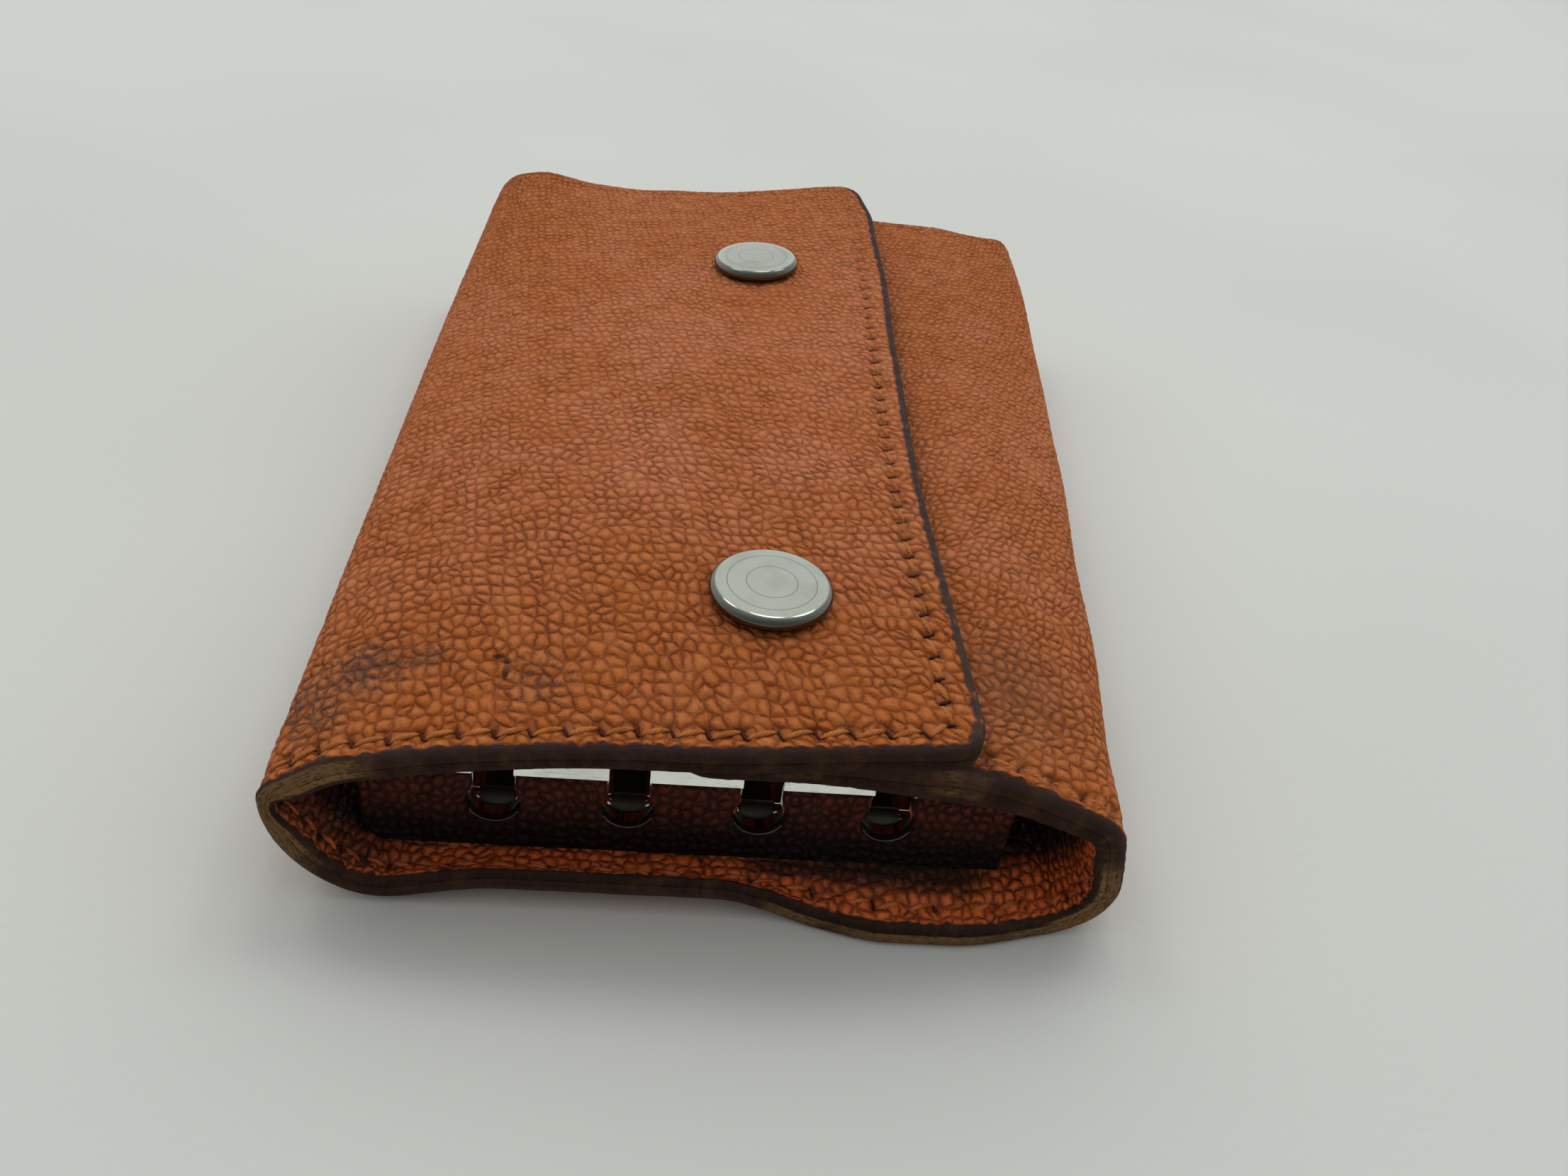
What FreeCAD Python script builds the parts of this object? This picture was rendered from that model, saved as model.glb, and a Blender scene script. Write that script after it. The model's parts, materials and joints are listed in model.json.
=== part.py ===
"""A folded leather key case with four key hooks, in millimetres.

+X runs from the left fold to the right fold, +Y from the key bar's open end to the far end and +Z up.
The origin is on the underside, in the middle of the length and halfway between the folds at the near end.
"""
import FreeCAD, Part
import math
import os

from FreeCAD import Vector

# Leather
outer_leather = 1.3
lining_leather = 1.1
glue_line = 0.05

# Case
case_length = 108.0
fold_reach = 32.5
right_fold_spread = 12.5
bottom_corner_radius = 8.0
fold_upright = 1.0
fold_slit = 0.12

# Top flap
flap_edge_inset = 13.5
flap_corner_radius = 3.0
flap_fold_rise = 3.4
flap_shoulder_run = 12.5
flap_shoulder_drop = 2.0
flap_shoulder_radius = 45.0
flap_crest_lead = 2.5
flap_crest_radius = 55.0

# Under panel
panel_lap = 22.0
panel_corner_radius = 3.0
panel_fold_rise = 2.5
panel_shoulder_inset = 12.0
panel_shoulder_radius = 16.0
panel_flap_gap = 0.5

# Key bar
bar_end_margin = 0.2
bar_height = 11.25
bar_inset = 4.1
bar_sheet = 0.9
bar_corner_radius = 4.5
bar_foot_depth = 7.4
bar_ear_depth = 4.0
bar_ear_height = 6.6
bar_headroom = 0.5
bar_lip_gap = 0.05
bar_lip_setback = 0.1
bar_lip_height = 1.8
cover_leather = 0.8
cover_height = 7.7
cover_corner_radius = 1.0
cover_window_margin = 0.25

# Keyholes in the bar
keyhole_round_radius = 1.85
keyhole_lift = 2.23
keyhole_side_gap = 0.2
keyhole_bridge = 1.2

# Rivets and the plate that they pull against
rivet_radius = 0.9
rivet_head_radius = 1.5
rivet_head_height = 0.7
rivet_end_margin = 3.6
backing_sheet = 0.5
backing_margin = 2.0
rivet_clearance = 0.03

# Hook axle and spacers
axle_radius = 0.45
axle_rise = 2.37
axle_head_lip = 0.6
axle_head_length = 0.5
axle_fit = 0.03
spacer_step = 0.15
spacer_side_gap = 0.12

# Key hooks
hook_count = 4
hook_left_margin = 8.1
hook_right_margin = 9.9
hook_width = 2.7
hook_strip = 0.5
hook_axle_fit = 0.06
hook_web_gap = 0.15
hook_roll_start = 60.0
hook_floor_gap = 0.3
hook_lead = 5.03
hook_crank_angle = 30.0
hook_crank_radius = 2.0
hook_shank = 12.0
hook_loop_radius = 2.75
hook_return = 8.0

# Hook gates
gate_leaf = 0.4
gate_side_gap = 0.1
gate_eye_wall = 0.4
gate_pin_radius = 0.4
gate_pin_fit = 0.05
gate_pin_setback = 2.4
gate_eye_lift = 0.15
gate_tip_gap = 0.12
gate_tip_overlap = 1.2
ear_thickness = 0.45
ear_reach = 0.8

# Press studs
snap_tip_margin = 7.0
snap_near_margin = 16.2
snap_spacing = 65.1
cap_radius = 5.0
cap_height = 1.5
cap_seat_radius = 4.3
cap_rim_lift = 0.25
cap_rim_height = 0.75
cap_face_radius = 3.9
snap_post_radius = 1.5
snap_post_fit = 0.05
post_flare_radius = 2.0
post_flare_height = 0.3
socket_radius = 4.2
socket_proud = 0.2
socket_back = 0.4
socket_bore_radius = 2.6
pocket_fit = 0.05
stud_radius = 1.7
stud_neck_radius = 1.4
stud_flange_radius = 4.0
stud_flange = 0.5
stud_neck_height = 0.35
stud_top_gap = 0.25
eyelet_radius = 4.0
eyelet_flange = 0.5
eyelet_post_radius = 1.0

# Levels and places worked out from the sizes above
wall = outer_leather + glue_line + lining_leather
near_y = -case_length / 2
far_y = case_length / 2
fold_z = bottom_corner_radius + fold_upright
floor_z = wall
flat_reach = fold_reach - bottom_corner_radius
bar_half_width = flat_reach - bar_end_margin
flap_edge_x = fold_reach - flap_edge_inset
panel_tip_x = flap_edge_x - panel_lap
snap_x = panel_tip_x + snap_tip_margin
bar_top_z = floor_z + bar_height
panel_under_z = bar_top_z + bar_headroom
panel_top_z = panel_under_z + wall
flap_under_z = panel_top_z + panel_flap_gap
flap_top_z = flap_under_z + wall
cover_front_y = near_y + bar_inset
web_front_y = cover_front_y + cover_leather
web_back_y = web_front_y + bar_sheet
foot_back_y = web_front_y + bar_foot_depth
rivet_y = (web_back_y + foot_back_y) / 2
knuckle_radius = axle_radius + hook_axle_fit + hook_strip
axle_y = web_back_y + hook_web_gap + knuckle_radius
axle_z = floor_z + axle_rise
keyhole_z = axle_z + keyhole_lift
hook_start_x = hook_left_margin - bar_half_width
hook_end_x = bar_half_width - hook_right_margin
hook_pitch = (hook_end_x - hook_start_x) / (hook_count - 1)
hook_xs = [hook_start_x + i * hook_pitch for i in range(hook_count)]
rivet_end_x = bar_half_width - rivet_end_margin
rivet_xs = [-rivet_end_x, (hook_start_x + hook_end_x) / 2, rivet_end_x]
snap_ys = {"front": near_y + snap_near_margin, "rear": near_y + snap_near_margin + snap_spacing}
UP = Vector(0, 0, 1)
ALONG_X = Vector(1, 0, 0)
ALONG_Y = Vector(0, 1, 0)
LONGEST_ROUNDED_SHARE = 0.98
LEFT_RUN = Vector(0, case_length, 0)
RIGHT_RUN = Vector(right_fold_spread, case_length, 0)


def line(start, end):
    """A straight stretch of a flat path."""
    return {"kind": "line", "start": start, "end": end}


def arc(centre, radius, start_angle, sweep):
    """A round stretch of a flat path, with angles in degrees and a left turn positive."""
    return {"kind": "arc", "centre": centre, "radius": radius, "start": start_angle, "sweep": sweep}


def corner_reaches(points, turns, radii):
    """How far each corner's arc reaches along the lines beside it, shared out where a line is short."""
    wanted = [radius * math.tan(abs(turn) / 2) for radius, turn in zip(radii, turns)]
    lengths = [math.dist(a, b) for a, b in zip(points, points[1:])]
    ends = [0.0] + wanted + [0.0]
    spans = zip(lengths, ends, ends[1:])
    shares = [min(1.0, LONGEST_ROUNDED_SHARE * length / (a + b)) for length, a, b in spans]
    return [reach * min(a, b) for reach, a, b in zip(wanted, shares, shares[1:])]


def rounded_path(points, radii):
    """Lines through the points, with an arc of its own radius at each inner point."""
    headings = [math.atan2(b[1] - a[1], b[0] - a[0]) for a, b in zip(points, points[1:])]
    turns = [(b - a + math.pi) % (2 * math.pi) - math.pi for a, b in zip(headings, headings[1:])]
    reaches = corner_reaches(points, turns, radii)
    path = []
    last = points[0]
    for i, corner in enumerate(points[1:-1]):
        heading_in, heading_out, turn, reach = headings[i], headings[i + 1], turns[i], reaches[i]
        side = math.copysign(1.0, turn)
        radius = reach / math.tan(abs(turn) / 2)
        touch = (corner[0] - reach * math.cos(heading_in), corner[1] - reach * math.sin(heading_in))
        centre = (touch[0] - side * radius * math.sin(heading_in),
                  touch[1] + side * radius * math.cos(heading_in))
        start_angle = math.degrees(heading_in) - side * 90
        path.append(line(last, touch))
        path.append(arc(centre, radius, start_angle, math.degrees(turn)))
        last = (corner[0] + reach * math.cos(heading_out), corner[1] + reach * math.sin(heading_out))
    path.append(line(last, points[-1]))
    return path


def track(start, heading, moves):
    """A path made of moves from a start: ("run", length) or ("turn", radius, degrees)."""
    path = []
    x, y = start
    for move in moves:
        facing = math.radians(heading)
        if move[0] == "run":
            end = (x + move[1] * math.cos(facing), y + move[1] * math.sin(facing))
            path.append(line((x, y), end))
        else:
            radius, turn = move[1], move[2]
            side = math.copysign(1.0, turn)
            centre = (x - side * radius * math.sin(facing), y + side * radius * math.cos(facing))
            path.append(arc(centre, radius, heading - side * 90, turn))
            heading += turn
            end_angle = math.radians(heading - side * 90)
            end = (centre[0] + radius * math.cos(end_angle), centre[1] + radius * math.sin(end_angle))
        x, y = end
    return path


def edges_beside(path, offset, place):
    """Edges that run beside a path at an offset to its left. place turns a flat point into a Vector."""
    edges = []
    for piece in path:
        if piece["kind"] == "line":
            (x0, y0), (x1, y1) = piece["start"], piece["end"]
            length = math.hypot(x1 - x0, y1 - y0)
            shift = (-(y1 - y0) / length * offset, (x1 - x0) / length * offset)
            start = place(x0 + shift[0], y0 + shift[1])
            end = place(x1 + shift[0], y1 + shift[1])
            edges.append(Part.makeLine(start, end))
        else:
            radius = piece["radius"] - offset * math.copysign(1.0, piece["sweep"])
            spots = []
            for share in (0.0, 0.5, 1.0):
                angle = math.radians(piece["start"] + share * piece["sweep"])
                cx, cy = piece["centre"]
                spots.append(place(cx + radius * math.cos(angle), cy + radius * math.sin(angle)))
            edges.append(Part.Arc(*spots).toShape())
    return edges


def band_wire(path, offset_a, offset_b, place):
    """The closed outline of a band between two offsets of a path."""
    side_a = edges_beside(path, offset_a, place)
    side_b = edges_beside(path, offset_b, place)
    first_end = Part.makeLine(side_a[-1].lastVertex().Point, side_b[-1].lastVertex().Point)
    last_end = Part.makeLine(side_b[0].firstVertex().Point, side_a[0].firstVertex().Point)
    return Part.Wire(side_a + [first_end] + side_b[::-1] + [last_end])


def across(y):
    """Places a flat (x, z) point in the cross section at y."""
    return lambda x, z: Vector(x, y, z)


def lengthwise(x):
    """Places a flat (y, z) point in the lengthwise section at x."""
    return lambda y, z: Vector(x, y, z)


def level(z):
    """Places a flat (x, y) point at height z."""
    return lambda x, y: Vector(x, y, z)


def leather_layer(path, offset_a, offset_b, run):
    """Leather between two offsets of a section at the near end, carried along a run to the far end."""
    return Part.Face(band_wire(path, offset_a, offset_b, across(near_y))).extrude(run)


def rounded_prism(points, radii, bottom, top):
    """An upright prism on a closed outline of points, rounded at all but the first and last."""
    path = rounded_path(points, radii)
    edges = edges_beside(path, 0.0, level(bottom))
    edges.append(Part.makeLine(level(bottom)(*points[-1]), level(bottom)(*points[0])))
    return Part.Face(Part.Wire(edges)).extrude(UP * (top - bottom))


def cylinder(radius, start, end):
    """A round rod between two points."""
    reach = end - start
    return Part.makeCylinder(radius, reach.Length, start, reach)


def turned(x, y, profile):
    """A solid turned about the upright line at x, y from (radius, z) points, with the axis closing it."""
    points = [Vector(x + radius, y, z) for radius, z in profile]
    face = Part.Face(Part.makePolygon(points + [points[0]]))
    return face.revolve(Vector(x, y, 0), UP, 360)


def base_paths():
    """The outer face of the back panel, from the left fold to the flat and from there to the right fold."""
    top = fold_z - fold_slit / 2
    left = [(-fold_reach, top), (-fold_reach, 0.0), (flat_reach, 0.0)]
    right = [(0.0, 0.0), (fold_reach, 0.0), (fold_reach, top)]
    return rounded_path(left, [bottom_corner_radius]), rounded_path(right, [bottom_corner_radius])


def fold_radius(rise, run, climb):
    """The bend of a fold whose upright rises by rise before the leather goes off over run and climb."""
    turn = math.pi / 2 - math.atan2(climb, run)
    return (rise - fold_slit) / math.tan(turn / 2)


def flap_path():
    """The outer face of the top flap, from the left fold to its free edge."""
    fold_corner = (-fold_reach, fold_z + flap_fold_rise)
    shoulder = (-fold_reach + flap_shoulder_run, flap_top_z - flap_shoulder_drop)
    crest = (panel_tip_x - flap_crest_lead, flap_top_z)
    start = (-fold_reach, fold_z + fold_slit / 2)
    bend = fold_radius(flap_fold_rise, flap_shoulder_run, shoulder[1] - fold_corner[1])
    points = [start, fold_corner, shoulder, crest, (flap_edge_x, flap_top_z)]
    return rounded_path(points, [bend, flap_shoulder_radius, flap_crest_radius])


def panel_path():
    """The outer face of the under panel, from the right fold to its flat part."""
    fold_corner = (fold_reach, fold_z + panel_fold_rise)
    shoulder = (fold_reach - panel_shoulder_inset, panel_top_z)
    start = (fold_reach, fold_z + fold_slit / 2)
    bend = fold_radius(panel_fold_rise, panel_shoulder_inset, panel_top_z - fold_corner[1])
    return rounded_path([start, fold_corner, shoulder, (snap_x, panel_top_z)], [bend, panel_shoulder_radius])


def flap_outline():
    """What the flap's rounded plan leaves of the leather."""
    left = -fold_reach - wall
    points = [(left, near_y), (flap_edge_x, near_y), (flap_edge_x, far_y), (left, far_y)]
    return rounded_prism(points, [flap_corner_radius] * 2, 0.0, flap_top_z + wall)


def panel_flat(bottom, top):
    """The level part of the under panel between two heights, with its rounded tip."""
    right = snap_x + cap_radius
    far_right = right + right_fold_spread
    points = [(right, near_y), (panel_tip_x, near_y), (panel_tip_x, far_y), (far_right, far_y)]
    return rounded_prism(points, [panel_corner_radius] * 2, bottom, top)


def make_base():
    """Back panel: outer leather, lining, and the plate held between them below the key bar."""
    left, right = base_paths()
    lining_start = outer_leather + glue_line
    outer = leather_layer(left, 0.0, outer_leather, LEFT_RUN)
    outer = outer.fuse(leather_layer(right, 0.0, outer_leather, RIGHT_RUN)).removeSplitter()
    lining = leather_layer(left, lining_start, wall, LEFT_RUN)
    lining = lining.fuse(leather_layer(right, lining_start, wall, RIGHT_RUN)).removeSplitter()
    plate_half_width = bar_half_width - backing_margin
    plate_depth = foot_back_y - web_front_y
    plate = Part.makeBox(2 * plate_half_width, plate_depth, backing_sheet)
    plate.translate(Vector(-plate_half_width, web_front_y, outer_leather))
    pocket = Part.makeBox(2 * (plate_half_width + pocket_fit), plate_depth + 2 * pocket_fit,
                          backing_sheet + pocket_fit)
    pocket.translate(Vector(-plate_half_width - pocket_fit, web_front_y - pocket_fit, outer_leather))
    lining = lining.cut(pocket)
    for x in rivet_xs:
        hole = cylinder(rivet_radius + rivet_clearance, Vector(x, rivet_y, outer_leather),
                        Vector(x, rivet_y, wall))
        lining = lining.cut(hole)
        plate = plate.cut(hole)
    return {"base_outer": outer, "base_lining": lining, "bar_backing_plate": plate}


def keyhole(x, margin, front, back):
    """The space of one keyhole: a round foot, a narrower slot above it and a round top."""
    slot_radius = hook_width / 2 + keyhole_side_gap + margin
    slot_top = bar_top_z - keyhole_bridge - slot_radius
    foot = cylinder(keyhole_round_radius + margin, Vector(x, front, keyhole_z), Vector(x, back, keyhole_z))
    slot = Part.makeBox(2 * slot_radius, back - front, slot_top - keyhole_z)
    slot.translate(Vector(x - slot_radius, front, keyhole_z))
    top = cylinder(slot_radius, Vector(x, front, slot_top), Vector(x, back, slot_top))
    return foot.fuse(slot).fuse(top)


def upright_plate(half_width, bottom, top, corner_radius, front, back):
    """A plate across the case with its two upper corners rounded."""
    points = [(-half_width, bottom), (-half_width, top), (half_width, top), (half_width, bottom)]
    edges = edges_beside(rounded_path(points, [corner_radius] * 2), 0.0, across(front))
    edges.append(Part.makeLine(Vector(half_width, front, bottom), Vector(-half_width, front, bottom)))
    return Part.Face(Part.Wire(edges)).extrude(ALONG_Y * (back - front))


def make_bar_lip(lip_z):
    """The bevelled lip across the front of the bar, over the top edge of its facing."""
    lip_front_y = cover_front_y + bar_lip_setback
    corners = [(web_front_y, lip_z), (lip_front_y, lip_z), (web_front_y, lip_z + bar_lip_height)]
    outline = [lengthwise(-bar_half_width)(*corner) for corner in corners]
    wedge = Part.Face(Part.makePolygon(outline + [outline[0]])).extrude(ALONG_X * 2 * bar_half_width)
    bar_outline = upright_plate(bar_half_width, floor_z, bar_top_z, bar_corner_radius,
                                cover_front_y, web_front_y)
    return wedge.common(bar_outline)


def make_key_bar():
    """Key bar bent from sheet, its leather facing and its rivets."""
    web = upright_plate(bar_half_width, floor_z, bar_top_z, bar_corner_radius, web_front_y, web_back_y)
    foot = Part.makeBox(2 * bar_half_width, bar_foot_depth, bar_sheet)
    foot.translate(Vector(-bar_half_width, web_front_y, floor_z))
    bar = web.fuse(foot)
    for side in (-1, 1):
        ear = Part.makeBox(bar_sheet, bar_sheet + bar_ear_depth, bar_ear_height)
        inner_x = side * bar_half_width - (bar_sheet if side > 0 else 0.0)
        ear.translate(Vector(inner_x, web_front_y, floor_z))
        bar = bar.fuse(ear)
    cover_top = floor_z + cover_height
    cover = upright_plate(bar_half_width, floor_z, cover_top, cover_corner_radius, cover_front_y, web_front_y)
    bar = bar.fuse(make_bar_lip(cover_top + bar_lip_gap))
    for x in hook_xs:
        bar = bar.cut(keyhole(x, 0.0, cover_front_y, web_back_y))
        cover = cover.cut(keyhole(x, cover_window_margin, cover_front_y, web_front_y))
    axle_line = Vector(bar_half_width, axle_y, axle_z)
    bar = bar.cut(cylinder(axle_radius + axle_fit, Vector(-bar_half_width, axle_y, axle_z), axle_line))
    rivets = []
    foot_top = floor_z + bar_sheet
    for x in rivet_xs:
        tail, seat = Vector(x, rivet_y, outer_leather), Vector(x, rivet_y, foot_top)
        bar = bar.cut(cylinder(rivet_radius + rivet_clearance, Vector(x, rivet_y, floor_z), seat))
        head = cylinder(rivet_head_radius, seat, seat + UP * rivet_head_height)
        rivets.append(cylinder(rivet_radius, tail, seat).fuse(head).removeSplitter())
    return {"key_bar": bar.removeSplitter(), "key_bar_cover": cover, "bar_rivets": Part.makeCompound(rivets)}


def make_axle():
    """Axle rod with its headed ends, and the tubes between the hooks."""
    end_x = bar_half_width + axle_head_length
    rod = cylinder(axle_radius, Vector(-end_x, axle_y, axle_z), Vector(end_x, axle_y, axle_z))
    for side in (-1, 1):
        inside, outside = (Vector(side * x, axle_y, axle_z) for x in (bar_half_width, end_x))
        rod = rod.fuse(cylinder(axle_radius + axle_head_lip, inside, outside))
    knuckle_half = hook_width / 2 + spacer_side_gap
    spacer_radius = knuckle_radius - spacer_step
    starts = [-bar_half_width + bar_sheet] + [x + knuckle_half for x in hook_xs]
    ends = [x - knuckle_half for x in hook_xs] + [bar_half_width - bar_sheet]
    tubes = []
    for start_x, end_x in zip(starts, ends):
        start, end = Vector(start_x, axle_y, axle_z), Vector(end_x, axle_y, axle_z)
        tubes.append(cylinder(spacer_radius, start, end).cut(cylinder(axle_radius + axle_fit, start, end)))
    return {"hook_axle": rod.removeSplitter(), "axle_spacers": Part.makeCompound(tubes)}


def make_hooks():
    """Each hook of bent strip, with its gate and the gate's pin."""
    roll_radius = knuckle_radius - hook_strip / 2
    crank = math.radians(hook_crank_angle)
    shank_z = floor_z + hook_floor_gap + hook_strip / 2
    crank_drop = axle_z - roll_radius - shank_z
    crank_run = (crank_drop - 2 * hook_crank_radius * (1 - math.cos(crank))) / math.sin(crank)
    roll_angle = math.radians(hook_roll_start)
    roll_end = (axle_y + roll_radius * math.cos(roll_angle), axle_z + roll_radius * math.sin(roll_angle))
    moves = [("turn", roll_radius, 270 - hook_roll_start), ("run", hook_lead),
             ("turn", hook_crank_radius, -hook_crank_angle), ("run", crank_run),
             ("turn", hook_crank_radius, hook_crank_angle), ("run", hook_shank),
             ("turn", hook_loop_radius, 180), ("run", hook_return)]
    path = track(roll_end, hook_roll_start + 90, moves)
    shank_start_y = path[5]["start"][0]
    shank_top = shank_z + hook_strip / 2
    tip_y = path[-1]["end"][0]
    return_under = shank_z + 2 * hook_loop_radius - hook_strip / 2
    eye_radius = gate_pin_radius + gate_pin_fit + gate_eye_wall
    pin_y, pin_z = shank_start_y + gate_pin_setback, shank_top + gate_eye_lift + eye_radius
    leaf_top = (tip_y + gate_tip_overlap, return_under - gate_tip_gap)
    nodes = {}
    for number, x in enumerate(hook_xs, start=1):
        left_x, right_x = x - hook_width / 2, x + hook_width / 2
        strip = Part.Face(band_wire(path, -hook_strip / 2, hook_strip / 2, lengthwise(left_x)))
        hook = strip.extrude(ALONG_X * hook_width)
        for ear_x in (left_x, right_x - ear_thickness):
            post = Part.makeBox(ear_thickness, 2 * ear_reach, pin_z - shank_top)
            post.translate(Vector(ear_x, pin_y - ear_reach, shank_top))
            ear_start = Vector(ear_x, pin_y, pin_z)
            cheek = cylinder(ear_reach, ear_start, ear_start + ALONG_X * ear_thickness)
            hook = hook.fuse(post).fuse(cheek)
        pin_start, pin_end = Vector(left_x, pin_y, pin_z), Vector(right_x, pin_y, pin_z)
        hook = hook.cut(cylinder(gate_pin_radius + axle_fit, pin_start, pin_end))
        nodes["key_hook_%d" % number] = hook.removeSplitter()
        nodes["gate_pin_%d" % number] = cylinder(gate_pin_radius, pin_start, pin_end)
        nodes["hook_gate_%d" % number] = make_gate(x, (pin_y, pin_z), eye_radius, leaf_top)
    return nodes


def make_gate(x, pin, eye_radius, leaf_top):
    """A gate leaf with an eye round its pin, closing against the inside of the hook's tip."""
    gate_width = hook_width - 2 * (ear_thickness + gate_side_gap)
    start = Vector(x - gate_width / 2, *pin)
    end = start + ALONG_X * gate_width
    lean = math.atan2(leaf_top[1] - pin[1], leaf_top[0] - pin[0])
    slant = gate_leaf / 2 / math.sin(lean)
    foot, top_z = pin[1], leaf_top[1]
    corners = [(pin[0] - slant, foot), (pin[0] + slant, foot),
               (leaf_top[0] + slant, top_z), (leaf_top[0] - slant, top_z)]
    outline = [lengthwise(start.x)(*corner) for corner in corners]
    leaf = Part.Face(Part.makePolygon(outline + [outline[0]])).extrude(ALONG_X * gate_width)
    gate = cylinder(eye_radius, start, end).fuse(leaf)
    gate = gate.cut(cylinder(gate_pin_radius + gate_pin_fit, start, end))
    return gate.removeSplitter()


def make_flap():
    """Top flap: outer leather and lining, with a hole and a pocket for each press stud."""
    path, outline = flap_path(), flap_outline()
    outer = leather_layer(path, 0.0, -outer_leather, LEFT_RUN).common(outline)
    lining = leather_layer(path, -outer_leather - glue_line, -wall, LEFT_RUN).common(outline)
    for y in snap_ys.values():
        centre = Vector(snap_x, y, 0)
        hole = cylinder(snap_post_radius + snap_post_fit, centre, centre + UP * flap_top_z)
        pocket = cylinder(socket_radius + pocket_fit, centre, centre + UP * (flap_top_z - outer_leather))
        outer = outer.cut(hole)
        lining = lining.cut(pocket)
    return {"flap_outer": outer, "flap_lining": lining}


def make_panel():
    """Under panel: outer leather and lining, with a hole and flush pockets for each press stud."""
    path = panel_path()
    lining_top = panel_under_z + lining_leather
    outer = panel_flat(panel_top_z - outer_leather, panel_top_z)
    outer = outer.fuse(leather_layer(path, 0.0, outer_leather, RIGHT_RUN)).removeSplitter()
    lining = panel_flat(panel_under_z, lining_top)
    lining = lining.fuse(leather_layer(path, outer_leather + glue_line, wall, RIGHT_RUN)).removeSplitter()
    for y in snap_ys.values():
        centre = Vector(snap_x, y, 0)
        hole = cylinder(eyelet_post_radius + snap_post_fit, centre, centre + UP * panel_top_z)
        stud_seat = cylinder(stud_flange_radius + pocket_fit, centre + UP * (panel_top_z - stud_flange),
                             centre + UP * panel_top_z)
        eyelet_seat = cylinder(eyelet_radius + pocket_fit, centre,
                               centre + UP * (panel_under_z + eyelet_flange))
        outer = outer.cut(hole).cut(stud_seat)
        lining = lining.cut(hole).cut(eyelet_seat)
    return {"panel_outer": outer, "panel_lining": lining}


def make_snap(place, y):
    """One press stud: cap and socket on the flap, stud and eyelet on the under panel."""
    cap_top = flap_top_z + cap_height
    socket_back_z = flap_top_z - outer_leather
    socket_inside_z = socket_back_z - socket_back
    socket_mouth_z = flap_under_z - socket_proud
    flare_z = socket_inside_z - post_flare_height
    cap = turned(snap_x, y, [(0, flare_z), (post_flare_radius, flare_z),
                             (post_flare_radius, socket_inside_z), (snap_post_radius, socket_inside_z),
                             (snap_post_radius, flap_top_z), (cap_seat_radius, flap_top_z),
                             (cap_radius, flap_top_z + cap_rim_lift),
                             (cap_radius, flap_top_z + cap_rim_height),
                             (cap_face_radius, cap_top), (0, cap_top)])
    post_hole = snap_post_radius + snap_post_fit
    socket = turned(snap_x, y, [(post_hole, socket_back_z), (socket_radius, socket_back_z),
                                (socket_radius, socket_mouth_z), (socket_bore_radius, socket_mouth_z),
                                (socket_bore_radius, socket_inside_z), (post_hole, socket_inside_z)])
    flange_z = panel_top_z - stud_flange
    neck_z = panel_top_z + stud_neck_height
    stud_top = flare_z - stud_top_gap
    stud_hole = eyelet_post_radius + snap_post_fit
    stud = turned(snap_x, y, [(stud_hole, flange_z), (stud_flange_radius, flange_z),
                              (stud_flange_radius, panel_top_z), (stud_neck_radius, panel_top_z),
                              (stud_radius, neck_z), (stud_radius, stud_top), (stud_hole, stud_top)])
    eyelet_top = panel_under_z + eyelet_flange
    eyelet = turned(snap_x, y, [(0, panel_under_z), (eyelet_radius, panel_under_z),
                                (eyelet_radius, eyelet_top), (eyelet_post_radius, eyelet_top),
                                (eyelet_post_radius, stud_top), (0, stud_top)])
    return {"snap_cap_" + place: cap, "snap_socket_" + place: socket,
            "snap_stud_" + place: stud, "snap_eyelet_" + place: eyelet}


nodes = {}
nodes.update(make_base())
nodes.update(make_key_bar())
nodes.update(make_axle())
nodes.update(make_hooks())
nodes.update(make_flap())
nodes.update(make_panel())
for place, y in snap_ys.items():
    nodes.update(make_snap(place, y))

os.makedirs("parts", exist_ok=True)
for name, shape in nodes.items():
    shape.exportStep("parts/%s.step" % name)
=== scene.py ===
"""Looks of the folded leather key case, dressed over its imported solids.

Lengths are in millimetres in the part's own frame until a mesh is made.
"""
import json
import math

import bpy
import numpy as np
from mathutils import Matrix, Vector
from mathutils.geometry import delaunay_2d_cdt


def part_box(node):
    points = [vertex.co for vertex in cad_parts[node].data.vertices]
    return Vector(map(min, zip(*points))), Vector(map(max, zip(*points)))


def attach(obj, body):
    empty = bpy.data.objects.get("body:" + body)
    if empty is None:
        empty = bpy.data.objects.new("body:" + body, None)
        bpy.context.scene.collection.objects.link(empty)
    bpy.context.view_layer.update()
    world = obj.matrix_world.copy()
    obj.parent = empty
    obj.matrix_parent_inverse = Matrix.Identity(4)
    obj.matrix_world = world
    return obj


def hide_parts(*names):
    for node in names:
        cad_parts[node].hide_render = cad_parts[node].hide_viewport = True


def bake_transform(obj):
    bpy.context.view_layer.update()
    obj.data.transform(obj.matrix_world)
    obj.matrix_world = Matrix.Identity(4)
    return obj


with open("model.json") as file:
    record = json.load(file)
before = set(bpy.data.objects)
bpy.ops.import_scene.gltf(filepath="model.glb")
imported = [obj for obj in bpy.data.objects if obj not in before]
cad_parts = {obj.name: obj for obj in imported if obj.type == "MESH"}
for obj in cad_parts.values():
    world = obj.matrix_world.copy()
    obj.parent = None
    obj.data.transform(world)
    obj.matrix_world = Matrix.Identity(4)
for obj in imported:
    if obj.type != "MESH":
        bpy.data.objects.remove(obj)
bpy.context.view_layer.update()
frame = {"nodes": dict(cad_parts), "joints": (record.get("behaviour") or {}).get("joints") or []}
MM = 0.001


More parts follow.
